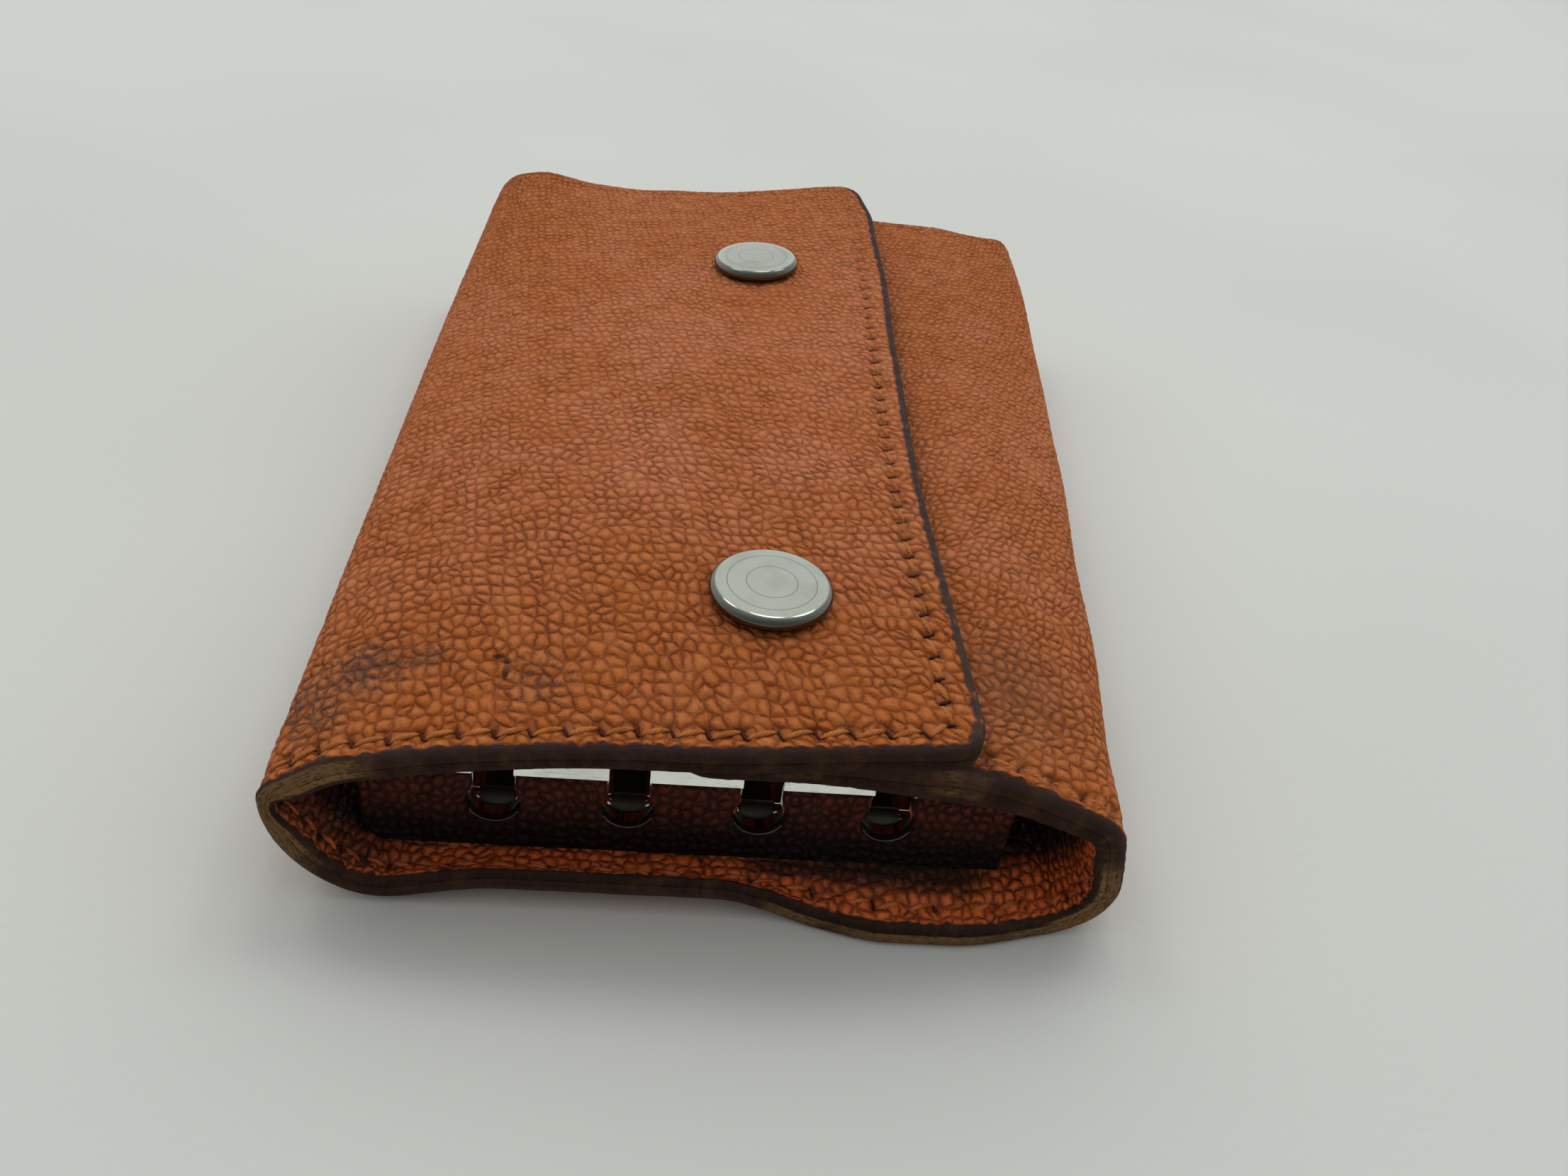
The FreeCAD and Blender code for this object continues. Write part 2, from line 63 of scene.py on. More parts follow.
def node_box(name):
    """A solid's lowest and highest corners."""
    low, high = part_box(name)
    return np.array(low) / MM, np.array(high) / MM


# Sizes read from the solids
base_low, base_high = node_box("base_outer")
flap_high = node_box("flap_outer")[1]
panel_low, panel_high = node_box("panel_outer")
cover_low, cover_high = node_box("key_bar_cover")
cap_boxes = {place: node_box("snap_cap_" + place) for place in ("front", "rear")}
hook_boxes = [node_box("key_hook_%d" % number) for number in range(1, 5)]
joint_heights = {joint["name"]: joint["pos_m"][2] / MM for joint in frame["joints"]}
near_y, far_y = base_low[1], base_high[1]
case_length = far_y - near_y
fold_reach = -base_low[0]
fold_spread = base_high[0] - fold_reach
fold_z = joint_heights["flap_fold"]
wall = node_box("key_bar")[0][2]
flap_edge_x, flap_top_z = flap_high[0], flap_high[2]
panel_tip_x, panel_top_z = panel_low[0], panel_high[2]
hook_xs = [(low[0] + high[0]) / 2 for low, high in hook_boxes]
snap_x = (cap_boxes["front"][0][0] + cap_boxes["front"][1][0]) / 2
snap_ys = {place: (low[1] + high[1]) / 2 for place, (low, high) in cap_boxes.items()}

# Leather and folds, as in the solids
corner_radius, free_corner = 8.0, 3.0
flap_rise, flap_shoulder = 3.4, (12.5, 2.0)
flap_crest_lead = 2.5
flap_radii = (45.0, 55.0)
panel_rise, panel_shoulder, panel_radius = 2.5, 12.0, 16.0
fold_slit = 0.12

# The outer face at the near end, by corners and radii: pinched and low left, round right
near_blend = 30.0
left_near = ([(-32.2, 0), (-32.2, 11.5), (-27.5, 14.7), (-19.5, 16.5), (-6, 18.5)], [10.0, 2.6, 10, 30, 50])
right_near = ([(34.0, 0), (31.5, 12.3), (19.6, panel_top_z)], [5.2, 4.0, panel_radius])
section_overrun = 1.0

# Thickness against flat leather: thin in the pinched fold; by the near edge a change, its place and reach
pinch, pinch_reach = 0.5, 2.2
near_thickness = {"left": (-0.05, 24, 4), "right": (0.6, 18.5, 7)}
near_thickness_length = 4.0

# How soft leather lies: the base's near edge curls up in the middle and comes forward on the right
near_lift, near_lift_length = 2.2, 4.4
near_forward, near_forward_length = 1.9, 13.0
sag_length = 10.0

# The flap: its far end lifts at the fold and the free edge, and the fold swells there
far_fold_lift, far_middle_drop, far_edge_lift = 2.6, 0.35, 2.9
far_fold_swell, far_fold_crest, far_fold_draw, far_corner_draw = 3.0, 1.0, 1.4, 1.5
flap_waves, flap_sag, near_corner_lift = 0.3, 0.75, 0.2
edge_wander, edge_shift = 0.35, 1.3
stud_pull, stud_pull_reach = 0.1, 6.5

# The under panel: gentle waves, a far fold that swells and draws in, a set-back near edge
panel_waves, panel_sag, panel_set_back = 0.15, 0.4, 1.2
panel_fold_swell, panel_far_lift = 2.4, 1.2
panel_fold_waves, panel_fold_draw, panel_tip_draw = 0.3, 1.3, 1.5
stud_hold, eyelet_proud = 6.0, 0.12

# Fineness of the leather meshes
face_step, lining_step, under_step = 0.315, 0.45, 1.0
flat_margin = 8.0
near_crowding = 0.26
corner_columns, stitch_corner_points = 16, 12
back_stride = 4
path_step, arc_points = 0.05, 60

# Edges: (inset, depth below the face) round each leather edge
outer_profile = [(0.55, 0.0), (0.30, 0.06), (0.10, 0.24), (0.0, 0.55), (0.0, 1.24), (0.05, 1.33)]
lining_profile = [(0.45, 0.0), (0.22, 0.05), (0.06, 0.20), (0.0, 0.45), (0.0, 1.02), (0.05, 1.1)]
face_depth = 0.5
inner_rim = 20.0
long_edge_paint = 0.5

# Wear of the edges' paint, and painted shade on the leather: a painted shadow beside the flap's edge, painted
# shade inside the left fold, and dirt with painted shade at the bar's foot, at most 1
left_fold_wear, right_fold_wear, panel_wear, under_wear = 0.9, 0.8, 0.22, 0.55
edge_grime, left_grime, foot_grime = 0.4, 0.82, 0.85

# Grain: size of a pebble at the near and the far end, and the relief in the mesh
outer_cell, lining_cell, facing_cell = (1.1, 0.85), (0.95, 0.95), (0.9, 0.9)
outer_relief, lining_relief, facing_relief = 0.17, 0.32, 0.15
grain_level = 0.6
grain_shortening, cell_randomness = 0.86, 0.78

# Unevenness of the grain, in pebbles: how often it changes and how far it moves them
drift_rate, drift_reach = 0.13, 1.8
wander_rate, wander_reach = 1.2, 0.45
depth_rate, least_depth = 0.45, 0.6
furrow_rates, furrow_width, furrow_depth = (0.3, 0.12, 0.0), 0.08, 0.2
pebble_slope, pebble_crown = 0.85, 0.3

# Stitches
stitch_pitch, stitch_length, stitch_radius = 2.57, 2.3, 0.24
end_inset, edge_inset = 1.75, 2.7
stitch_slant, stitch_bow, stitch_sink = 0.34, 0.22, 0.34
sunk_thread, lengthwise_sink = 0.14, 0.16
stitch_groove, stitch_groove_width = 0.2, 0.5
hole_depth, hole_length, hole_width, hole_window = 0.32, 0.55, 0.3, 1.8
hole_heading = (0.55, -0.84)
slit_radius, slit_overrun, slit_rise = 0.11, 0.15, -0.3
bead_steps, slit_steps, bead_sides = 9, 5, 8
bead_tip, bead_flatness = 0.03, 0.75

# Press stud caps: fine rings in the face, as shares of its radius
cap_rings, cap_ring_depth, cap_ring_width = (0.48, 0.84), 0.002, 0.014
cap_rim, cap_dome, cap_segments = 0.72, 0.05, 96
cap_post, cap_foot, cap_foot_height = 1.5, 2.0, 0.3
cap_skirt = [(1.5, -0.5), (4.0, -0.4), (4.2, -0.1)]
cap_tilts = {"front": 0.0, "rear": 4.5}
cap_moves = {"front": (0.0, 0.0, 0.0), "rear": (0.3, 0.0, 0.45)}
# How much darker each cap's face is painted all over: a painted dimmer reflection on the rear cap
cap_dimming = {"front": 0.0, "rear": 0.15}

# Facing of the bar and its keyhole windows
facing_corner, facing_overhang, facing_foot_round = 1.0, 1.9, 1.6
facing_soft, facing_step, facing_outline_step = 0.3, 0.42, 0.4
facing_profile = [(0.12, 0.05), (0.0, 0.3)]
window_slot, window_foot, window_foot_z = 1.7, 2.1, 7.05
window_rim = 0.06

# Lint by the bar's foot
lint_count, lint_joints = 420, 7

# Camera
focal_pixels, image_width = 1800.0, 2212.0
sensor_width = 36.0
camera_place = (-5.5, -118.7, 80.1)
camera_yaw, camera_pitch, camera_roll = 7.39, 36.12, -8.54

# Soft lamps overhead, in metres and watts
lamp_places = [(-0.45, 0.4, 0.95), (0.05, 0.38, 1.02), (0.42, 0.4, 0.95)]
lamp_size, lamp_energy = 0.3, 0.85
sky_colour = (0.98, 1.0, 0.99, 1.0)
floor_half = 3000.0


def srgb(red, green, blue):
    """A colour as seen on a screen, from 0 to 255, in the linear values that shaders take."""
    values = []
    for value in (red, green, blue):
        share = value / 255
        values.append(share / 12.92 if share <= 0.04045 else ((share + 0.055) / 1.055) ** 2.4)
    return (*values, 1.0)


def ease(low, high, value):
    """0 at low, 1 at high, which may be the smaller, and smooth between."""
    t = np.clip((np.asarray(value, float) - low) / (high - low), 0, 1)
    return t * t * (3 - 2 * t)


def climb(low, high, value, power=2):
    """0 at low, 1 at high, which may be the smaller, with a soft start and a firm end."""
    return np.clip((value - low) / (high - low), 0, 1) ** power


def plateau(value, start, full, fade, end):
    """1 from full to fade, and smoothly down to 0 at start and at end."""
    return ease(start, full, value) * (1 - ease(fade, end, value))


def hump(value, centre, reach):
    """1 at the centre, and less on both sides."""
    return np.exp(-((value - centre) / reach) ** 2)


def lengths_along(line):
    """The length of a line so far, at each of its points."""
    return np.concatenate([[0], np.cumsum(np.hypot(*np.diff(line, axis=0).T))])


class Section:
    """A rounded path in the cross section, by arc length from the fold line."""

    def __init__(self, points, radii, side):
        dense = self.rounded(np.array(points, float), radii)
        steps = np.hypot(*np.diff(dense, axis=0).T)
        dense = dense[np.concatenate([[True], steps > 1e-6])]
        run = lengths_along(dense)
        self.run = np.linspace(0, run[-1], int(run[-1] / path_step))
        self.x = np.interp(self.run, run, dense[:, 0])
        self.z = np.interp(self.run, run, dense[:, 1])
        heading = np.unwrap(np.arctan2(np.gradient(self.z), np.gradient(self.x)))
        self.nx, self.nz = -np.sin(heading) * side, np.cos(heading) * side
        widest = np.max(self.x * -side)
        upright = np.abs(self.x * -side - widest) < 0.01
        at_fold = np.argmin(np.where(upright, np.abs(self.z - fold_z), np.inf))
        self.run = self.run - self.run[at_fold]

    @staticmethod
    def rounded(points, radii):
        """Lines through the points with an arc at each inner point."""
        out = [points[0]]
        for before, corner, after, radius in zip(points, points[1:], points[2:], radii):
            back = (before - corner) / np.linalg.norm(before - corner)
            ahead = (after - corner) / np.linalg.norm(after - corner)
            half = math.acos(np.clip(back @ ahead, -1, 1)) / 2
            middle = (back + ahead) / np.linalg.norm(back + ahead)
            centre = corner + middle * radius / math.sin(half)
            start = corner + back * radius / math.tan(half) - centre
            end = corner + ahead * radius / math.tan(half) - centre
            sweep = math.atan2(start[0] * end[1] - start[1] * end[0], start @ end)
            for angle in np.linspace(0, sweep, arc_points):
                c, s = math.cos(angle), math.sin(angle)
                out.append(centre + np.array([c * start[0] - s * start[1], s * start[0] + c * start[1]]))
        out.append(points[-1])
        return np.array(out)

    def at(self, run):
        """Position and outward side at an arc length, as x, z, and the side's x and z."""
        return np.stack([np.interp(run, self.run, values) for values in (self.x, self.z, self.nx, self.nz)])

    def run_at_x(self, x, top):
        """The arc length where the path passes x, on its upper or lower part."""
        part = self.run > 0 if top else self.run <= 0
        return self.run[part][np.argmin(np.abs(self.x[part] - x))]


def fold_bend(rise, run, climbing):
    """The radius of a fold that rises by rise before the leather goes off over run and climbing."""
    turn = math.pi / 2 - math.atan2(climbing, run)
    return (rise - fold_slit) / math.tan(turn / 2)


def left_corners():
    """Corners and radii of the outer face round the left fold and over the flap."""
    corner_z = fold_z + flap_rise
    shoulder = (-fold_reach + flap_shoulder[0], flap_top_z - flap_shoulder[1])
    bend = fold_bend(flap_rise, flap_shoulder[0], shoulder[1] - corner_z)
    crest = (panel_tip_x - flap_crest_lead, flap_top_z)
    return [(-fold_reach, 0), (-fold_reach, corner_z), shoulder, crest], [corner_radius, bend, *flap_radii]


def right_corners():
    """Corners and radii of the outer face round the right fold and over the under panel."""
    corner_z = fold_z + panel_rise
    bend = fold_bend(panel_rise, panel_shoulder, panel_top_z - corner_z)
    shoulder = (fold_reach - panel_shoulder, panel_top_z)
    return [(fold_reach, 0), (fold_reach, corner_z), shoulder], [corner_radius, bend, panel_radius]


def left_section(corners, radii):
    """The outer face from the middle of the base through its corners to the flap's edge."""
    end = (flap_edge_x + section_overrun, flap_top_z)
    return Section([(section_overrun, 0), *corners, end], radii, 1)


def right_section(corners, radii):
    """The outer face from the middle of the base through its corners to the under panel's tip."""
    end = (panel_tip_x - fold_spread - section_overrun, panel_top_z)
    return Section([(-fold_spread - section_overrun, 0), *corners, end], radii, -1)


def undulation(a, b):
    """A smooth, gentle rise and fall from -1 to 1 over leather, with waves of 15 to 40 mm."""
    waves = (np.sin(a / 6.1 + 1.3 + 0.6 * np.sin(b / 9.0)) * np.cos(b / 7.3 + 0.4)
             + np.sin(a / 3.9 + b / 5.7 + 2.1) * 0.5 + np.cos(b / 4.4 - a / 8.0) * 0.4)
    return waves / 1.9


class Sheet:
    """One half of the folded leather, from the middle of the base round a fold to a free edge."""

    def __init__(self, name, section, near_section, spread, free_x, deform):
        self.name, self.section, self.near_section, self.spread = name, section, near_section, spread
        self.deform = deform
        self.free_run = section.run_at_x(free_x, True)
        self.seam_run = section.run_at_x(0.0, False)
        self.near_stretch = (near_section.run_at_x(0.0, False) / self.seam_run,
                             near_section.run_at_x(free_x, True) / self.free_run)
        self.flat_run = section.run_at_x(free_x + (flat_margin if spread else -flat_margin), True)
        self.under_run = section.run_at_x(math.copysign(fold_reach - corner_radius, -section.x[0]), False)

    def share(self, y):
        """How far along the case y is, from 0 at the near end to 1 at the far end."""
        return (y - near_y) / case_length

    def limits(self, y):
        """The arc lengths of the seam and of the free edge at y."""
        shift = self.spread * self.share(y)
        return self.seam_run - shift, self.free_run + shift

    def grain(self, run, y):
        """The grain's own coordinate across the case, which is continuous over the seam under the base."""
        sign = 1 if self.spread else -1
        return sign * (run - self.limits(y)[0])

    def outline(self, run, y):
        """Position and outward side in the cross section, which changes towards the near end."""
        near = ease(near_y + near_blend, near_y, y)
        near_run = run * np.where(run < 0, *self.near_stretch)
        return self.section.at(run) * (1 - near) + self.near_section.at(near_run) * near

    def thickness(self, run, y):
        """How thick the leather is against its flat parts."""
        thin = 0.0 if self.spread else pinch * hump(run, 0, pinch_reach)
        change, centre, reach = near_thickness[self.name]
        near = 1 - ease(near_y, near_y + near_thickness_length, y)
        return 1 - thin + change * hump(run, centre, reach) * near

    def place(self, run, y, depth):
        """Points at an arc length, a place along the case and a depth below the outer face."""
        x, z, nx, nz = self.outline(run, y)
        x = x + self.spread * self.share(y)
        depth = depth * self.thickness(run, y)
        points = np.stack([x - depth * nx, y + 0 * x, z - depth * nz], -1)
        return points + self.deform(run, x, y, z)

    def outward(self, run, y):
        """The outer side's direction at a place."""
        nx, nz = self.outline(run, y)[2:]
        return np.stack([nx, 0 * nx, nz], -1)

    def gaps(self, run, y):
        """The distances to the long free edge and to the nearer end."""
        return np.maximum(self.limits(y)[1] - run, 0), np.maximum(np.minimum(y - near_y, far_y - y), 0)

    def rim(self, run, y):
        """The distance to the nearest free edge."""
        edge, end = self.gaps(run, y)
        inside = free_corner - np.hypot(free_corner - edge, free_corner - end)
        return np.where((edge < free_corner) & (end < free_corner), inside, np.minimum(edge, end))


def near_edge_wave(x, y, z):
    """How the base's near edge moves along the case and up."""
    low = 1 - ease(1.0, 8.0, z)
    lift = near_lift * plateau(x, -27, -15, 1, 9) * climb(near_y + near_lift_length, near_y, y)
    forward = near_forward * plateau(x, 5, 15, 20, 31) * climb(near_y + near_forward_length, near_y, y)
    return -forward * low, lift * low


def near_sag(x, y):
    """How much the tops of the case sag in the middle of their near edges."""
    return hump(x, -1, 10) * (1 - ease(near_y, near_y + sag_length, y))


def flap_edge_drift(y):
    """How far the flap's long edge strays from a straight line."""
    return edge_wander * np.sin(y / 9.5 + 0.8) + edge_shift * ease(8, 30, y)


def left_deform(run, x, y, z):
    """The left half's own shape: near edge, lifted far end, waves and the pull round the press studs."""
    dy, dz = near_edge_wave(x, y, z)
    on_flap, by_edge = ease(2, 14, run), ease(8, 19, x)
    far, free_far = climb(10, far_y, y), climb(-15, far_y, y)
    dz = dz + on_flap * far * (far_fold_lift * ease(-8, -26, x) - far_middle_drop)
    dz = dz + on_flap * free_far * far_edge_lift * ease(-4, 19, x)
    dz = dz + far * (far_fold_swell * plateau(run, -6, 6, 6, 20) + far_fold_crest * hump(run, 6.5, 3))
    waves = flap_waves * (1 + undulation(x, y)) * ease(near_y, near_y + 14, y) * (1 - far)
    near = near_corner_lift * by_edge * climb(near_y + 16, near_y, y) - flap_sag * near_sag(x, y)
    dz = dz + on_flap * (waves + near)
    for snap_y in snap_ys.values():
        away = np.hypot(x - snap_x, y - snap_y)
        dz = dz - on_flap * stud_pull * hump(away, 0, stud_pull_reach)
    dx = on_flap * flap_edge_drift(y) * ease(0, 19, x) + far_fold_draw * far * (1 - ease(2, 14, np.abs(run)))
    dx = dx - on_flap * far_corner_draw * ease(43, far_y, y) * by_edge
    return np.stack([dx + 0 * dz, dy + 0 * dz, dz], -1)


def right_deform(run, x, y, z):
    """The right half's own shape: near edge, waves of the under panel, and its hold on the press studs."""
    dy, dz = near_edge_wave(x, y, z)
    on_panel = ease(3, 10, run)
    far = climb(5, far_y, y, 1.6)
    waves = panel_waves * (undulation(x + 20, y) - 1) * ease(near_y, near_y + 10, y)
    dz = dz + on_panel * (waves - panel_sag * near_sag(x, y))
    dz = dz + far * (panel_fold_swell * plateau(run, -5, 4, 5, 15) + panel_far_lift * ease(0, 8, run))
    for snap_y in snap_ys.values():
        held = on_panel * np.exp(-(np.hypot(x - snap_x, y - snap_y) / stud_hold) ** 4)
        dz = dz * (1 - held) + held * (panel_top_z + eyelet_proud - z)
    dy = dy + panel_set_back * ease(6, 15, run) * climb(near_y + 24, near_y, y)
    by_fold = 1 - ease(0, 9, np.abs(run))
    draw = panel_fold_draw * far + panel_tip_draw * far ** 3
    dx = by_fold * (panel_fold_waves * undulation(y, 0 * y + 4) - draw)
    return np.stack([dx + 0 * dz, dy + 0 * dz, dz], -1)


def runs_between(start, end, step):
    """Even steps from start to just before end, a multiple of the back's stride in number."""
    count = max(back_stride, int(round(abs(end - start) / step / back_stride)) * back_stride)
    return np.linspace(start, end, count, endpoint=False)


def sheet_grid(sheet, step, radius):
    """Arc lengths and places along the case of a grid over a sheet, inside a rounded edge."""
    rows = np.linspace(0, 1, int(round(case_length / step / back_stride)) * back_stride + 1)
    rows = rows * (1 - near_crowding + near_crowding * rows)
    corner_start = sheet.free_run - free_corner
    under = runs_between(sheet.seam_run, sheet.under_run, under_step)
    curved = runs_between(sheet.under_run, sheet.flat_run, step)
    flat = runs_between(sheet.flat_run, corner_start, step)
    angles = np.linspace(0, math.pi / 2, corner_columns + 1)
    corner = corner_start + (free_corner - radius) * np.sin(angles)
    near_runs = np.concatenate([under, curved, flat, corner])
    edge_gap = np.maximum(free_corner - (sheet.free_run - near_runs), 0)
    margin = free_corner - np.sqrt(np.maximum((free_corner - radius) ** 2 - edge_gap ** 2, 0))
    along = near_y + margin[:, None] + rows[None, :] * (case_length - 2 * margin[:, None])
    seam_part = np.clip((sheet.under_run - near_runs) / (sheet.under_run - sheet.seam_run), 0, 1)
    free_part = np.clip((near_runs - sheet.flat_run) / (corner_start - sheet.flat_run), 0, 1)
    runs = near_runs[:, None] + sheet.spread * sheet.share(along) * (free_part - seam_part)[:, None]
    turn = np.concatenate([np.zeros(len(near_runs) - len(angles)), angles])
    return runs, along, turn


def loop_indices(columns, rows):
    """The grid's border as (column, row) pairs, from the seam along the near end and round."""
    near = [(i, 0) for i in range(columns)]
    free = [(columns - 1, j) for j in range(1, rows)]
    far = [(i, rows - 1) for i in range(columns - 2, -1, -1)]
    seam = [(0, j) for j in range(rows - 2, 0, -1)]
    return near + free + far + seam


def loop_outward(turn, rows):
    """For each border point, the way out of the sheet along its run and along the case."""
    near = [(math.sin(t), -math.cos(t)) for t in turn]
    free = [(1.0, 0.0)] * (rows - 1)
    far = [(math.sin(t), math.cos(t)) for t in turn[-2::-1]]
    seam = [(0.0, 0.0)] * (rows - 2)
    return np.array(near + free + far + seam)


def ring_faces(low, high):
    """Four-sided faces between two closed rings of points."""
    return [[low[k - 1], low[k], high[k], high[k - 1]] for k in range(len(low))]


def back_faces(columns, rows, inner, border):
    """Large faces over a hidden back, which meet the fine border point by point."""
    faces = []
    for i in range(0, columns - 1, back_stride):
        for j in range(0, rows - 1, back_stride):
            i1, j1 = i + back_stride, j + back_stride
            ring = [(k, j) for k in range(i, i1)] if j == 0 else [(i, j)]
            ring += [(i1, k) for k in range(j, j1)] if i1 == columns - 1 else [(i1, j)]
            ring += [(k, j1) for k in range(i1, i, -1)] if j1 == rows - 1 else [(i1, j1)]
            ring += [(i, k) for k in range(j1, j, -1)] if i == 0 else [(i, j1)]
            faces.append([border[p] if p in border else inner[p] for p in ring])
    return faces


def link_new(name, data):
    """A new object in the scene."""
    made = bpy.data.objects.new(name, data)
    bpy.context.scene.collection.objects.link(made)
    return made


def new_object(name, points, faces):
    """A smooth mesh object from points in millimetres."""
    mesh = bpy.data.meshes.new(name)
    mesh.from_pydata((np.asarray(points) * MM).tolist(), [], faces)
    mesh.validate()
    mesh.shade_smooth()
    return link_new(name, mesh)


def face_out(thing):
    """Turns every face of a closed mesh outwards."""
    bpy.context.view_layer.objects.active = thing
    thing.select_set(True)
    bpy.ops.object.mode_set(mode="EDIT")
    bpy.ops.mesh.select_all(action="SELECT")
    bpy.ops.mesh.normals_make_consistent(inside=False)
    bpy.ops.object.mode_set(mode="OBJECT")
    thing.select_set(False)


def closed_object(name, points, faces, **attributes):
    """A closed mesh object, its faces outwards, with a number or vector at each point for each attribute."""
    made = new_object(name, points, faces)
    for label, values in attributes.items():
        values = np.asarray(values, np.float32)
        kind, field = ("FLOAT", "value") if values.ndim == 1 else ("FLOAT_VECTOR", "vector")
        made.data.attributes.new(label, kind, "POINT").data.foreach_set(field, values.ravel())
    face_out(made)
    return made


def move_points(thing, points):
    """Puts a mesh's points at places in millimetres."""
    thing.data.vertices.foreach_set("co", (points * MM).astype(np.float32).ravel())


def ply_places(sheet, grid, loop, coarse, profile):
    """Arc length, place along the case, depth and rim distance of a ply's face, edge and back points."""
    runs, along, turn = grid
    radius, back_depth = profile[0][0], profile[-1][1]
    out = loop_outward(turn, runs.shape[1])
    free = np.any(out != 0, axis=1)
    by_long_edge = ease(3.0, 1.0, sheet.limits(along)[1] - runs)
    face_rim = sheet.rim(runs, along) - long_edge_paint * by_long_edge
    parts = [(runs.ravel(), along.ravel(), 0 * runs.ravel(), face_rim.ravel())]
    edge_runs, edge_along = (values[tuple(np.transpose(loop))] for values in (runs, along))
    for inset, depth in profile[1:]:
        grown = out * (radius - inset)
        rim = np.where(free, inset - depth * 1.2, inner_rim)
        parts.append((edge_runs + grown[:, 0], edge_along + grown[:, 1], np.full(len(loop), depth), rim))
    back_runs, back_along = (values[tuple(np.transpose(coarse))] for values in (runs, along))
    back = np.full(len(coarse), back_depth)
    parts.append((back_runs, back_along, back, -back))
    return (np.concatenate(part) for part in zip(*parts))


def ply_faces(columns, rows, loop, coarse, rings):
    """A ply's faces: a fine grid, rings round the edge, and large faces over the back."""
    index = np.arange(columns * rows).reshape(columns, rows)
    corners = (index[:-1, :-1], index[1:, :-1], index[1:, 1:], index[:-1, 1:])
    faces = np.stack(corners, -1).reshape(-1, 4).tolist()
    last = [index[p] for p in loop]
    for ring in range(rings):
        first = columns * rows + ring * len(loop)
        current = list(range(first, first + len(loop)))
        faces += ring_faces(last, current)
        last = current
    inner = {p: last[-1] + 1 + number for number, p in enumerate(coarse)}
    return faces + back_faces(columns, rows, inner, dict(zip(loop, last)))


def make_ply(name, sheet, step, profile, depth_at_face, inward, ends, cell, relief):
    """One closed ply of a sheet, with a fine grained face, a rounded edge and a coarse hidden back."""
    sign = -1 if inward else 1
    grid = sheet_grid(sheet, step, profile[0][0])
    columns, rows = grid[0].shape
    loop = loop_indices(columns, rows)
    coarse = [(i, j) for i in range(back_stride, columns - 1, back_stride)
              for j in range(back_stride, rows - 1, back_stride)]
    run, y, depth, rim = ply_places(sheet, grid, loop, coarse, profile)
    points = sheet.place(run, y, depth_at_face + sign * depth)
    hole, groove = stitch_marks(run, y, ends, sheet)
    on_face = np.clip(1 - depth / face_depth, 0, 1)
    made = closed_object(name, points, ply_faces(columns, rows, loop, coarse, len(profile) - 1),
                         grain=np.stack([sheet.grain(run, y), y, depth], -1), rim=rim, hole=hole * on_face,
                         bare=bare_edge(sheet, run, points[:, 0], inward),
                         grime=shade_and_soiling(sheet, run, points[:, 0], y, inward))
    height = (grain_height(made, cell) - grain_level) * relief * ease(-0.3, 0.8, rim)
    height = (height - groove - hole * hole_depth) * on_face
    move_points(made, points + sign * sheet.outward(run, y) * height[:, None])
    return made


def bare_edge(sheet, run, x, inward):
    """Where an edge's paint has worn off: round the folds, and below the outer leather on the right."""
    if sheet.spread:
        fold = np.maximum(right_fold_wear * hump(run, -3, 6.5), panel_wear * (run > 6))
    else:
        fold = left_fold_wear * hump(run, 2, 9)
    under = under_wear * ease(0, 8, x) * (run < -6) * (not inward)
    return np.maximum(fold, under)


def shade_and_soiling(sheet, run, x, y, inward):
    """Painted shade on the leather: inside round the bar and up the folds, with dirt too along the bar's
    foot, and outside a painted shadow beside the flap's edge.
    """
    if not inward:
        # A painted shadow on the under panel along the flap's edge
        beside = np.abs(x - flap_edge_x - flap_edge_drift(y))
        return edge_grime * ease(2.6, 0.3, beside) * (run > 8) * (sheet.spread > 0)
    # Painted shade deep inside round the bar and up the folds, darkest just inside the left fold
    leftward = ease(-18, -27, x)
    start = near_y + 2.8 - leftward + 0.8 * ease(22, 28, x)
    dim = left_grime * leftward * ease(near_y - 0.2, near_y + 1.6, y)
    deep = np.maximum(ease(start, start + 3.6 - 0.8 * leftward, y), dim)
    deep = deep * ease(9, 2, run) * ease(-28, -40, y)
    # Dirt and painted shade along the foot of the bar
    foot = ease(cover_low[1] - 2.4, cover_low[1] - 0.7, y) * plateau(x, 1, 6, 21, 25) * (run < 0)
    return np.maximum(deep, foot_grime * foot * ease(-40, -46, y))


def stitch_line(sheet):
    """The line of the stitches round a sheet's free edges, and its length so far at each point."""
    across, along = free_corner - edge_inset, free_corner - end_inset
    near_seam, near_free = sheet.limits(near_y)
    far_seam, far_free = sheet.limits(far_y)
    quarter = np.linspace(0, math.pi / 2, stitch_corner_points)
    line = [(near_seam + stitch_pitch / 2, near_y + end_inset)]
    line += [(near_free - free_corner + across * math.sin(t), near_y + free_corner - along * math.cos(t))
             for t in quarter]
    line += [(far_free - free_corner + across * math.cos(t), far_y - free_corner + along * math.sin(t))
             for t in quarter]
    line = np.array(line + [(far_seam + stitch_pitch / 2, far_y - end_inset)])
    return line, lengths_along(line)


def stitch_ends(sheet):
    """The two holes of each stitch, as arc length and place along the case."""
    line, run = stitch_line(sheet)
    ends = []
    for number in range(int(run[-1] / stitch_pitch)):
        middle = (number + 0.5) * stitch_pitch
        start, end = (np.array([np.interp(at, run, line[:, 0]), np.interp(at, run, line[:, 1])])
                      for at in (middle - stitch_length / 2, middle + stitch_length / 2))
        heading = (end - start) / np.linalg.norm(end - start)
        side = np.array([-heading[1], heading[0]]) * stitch_slant
        ends.append((start - side, end + side))
    return np.array(ends)


def far_fading(y, share):
    """1 over the near half, and less by a share towards the far end."""
    return 1 - share * ease(0, 50, y)


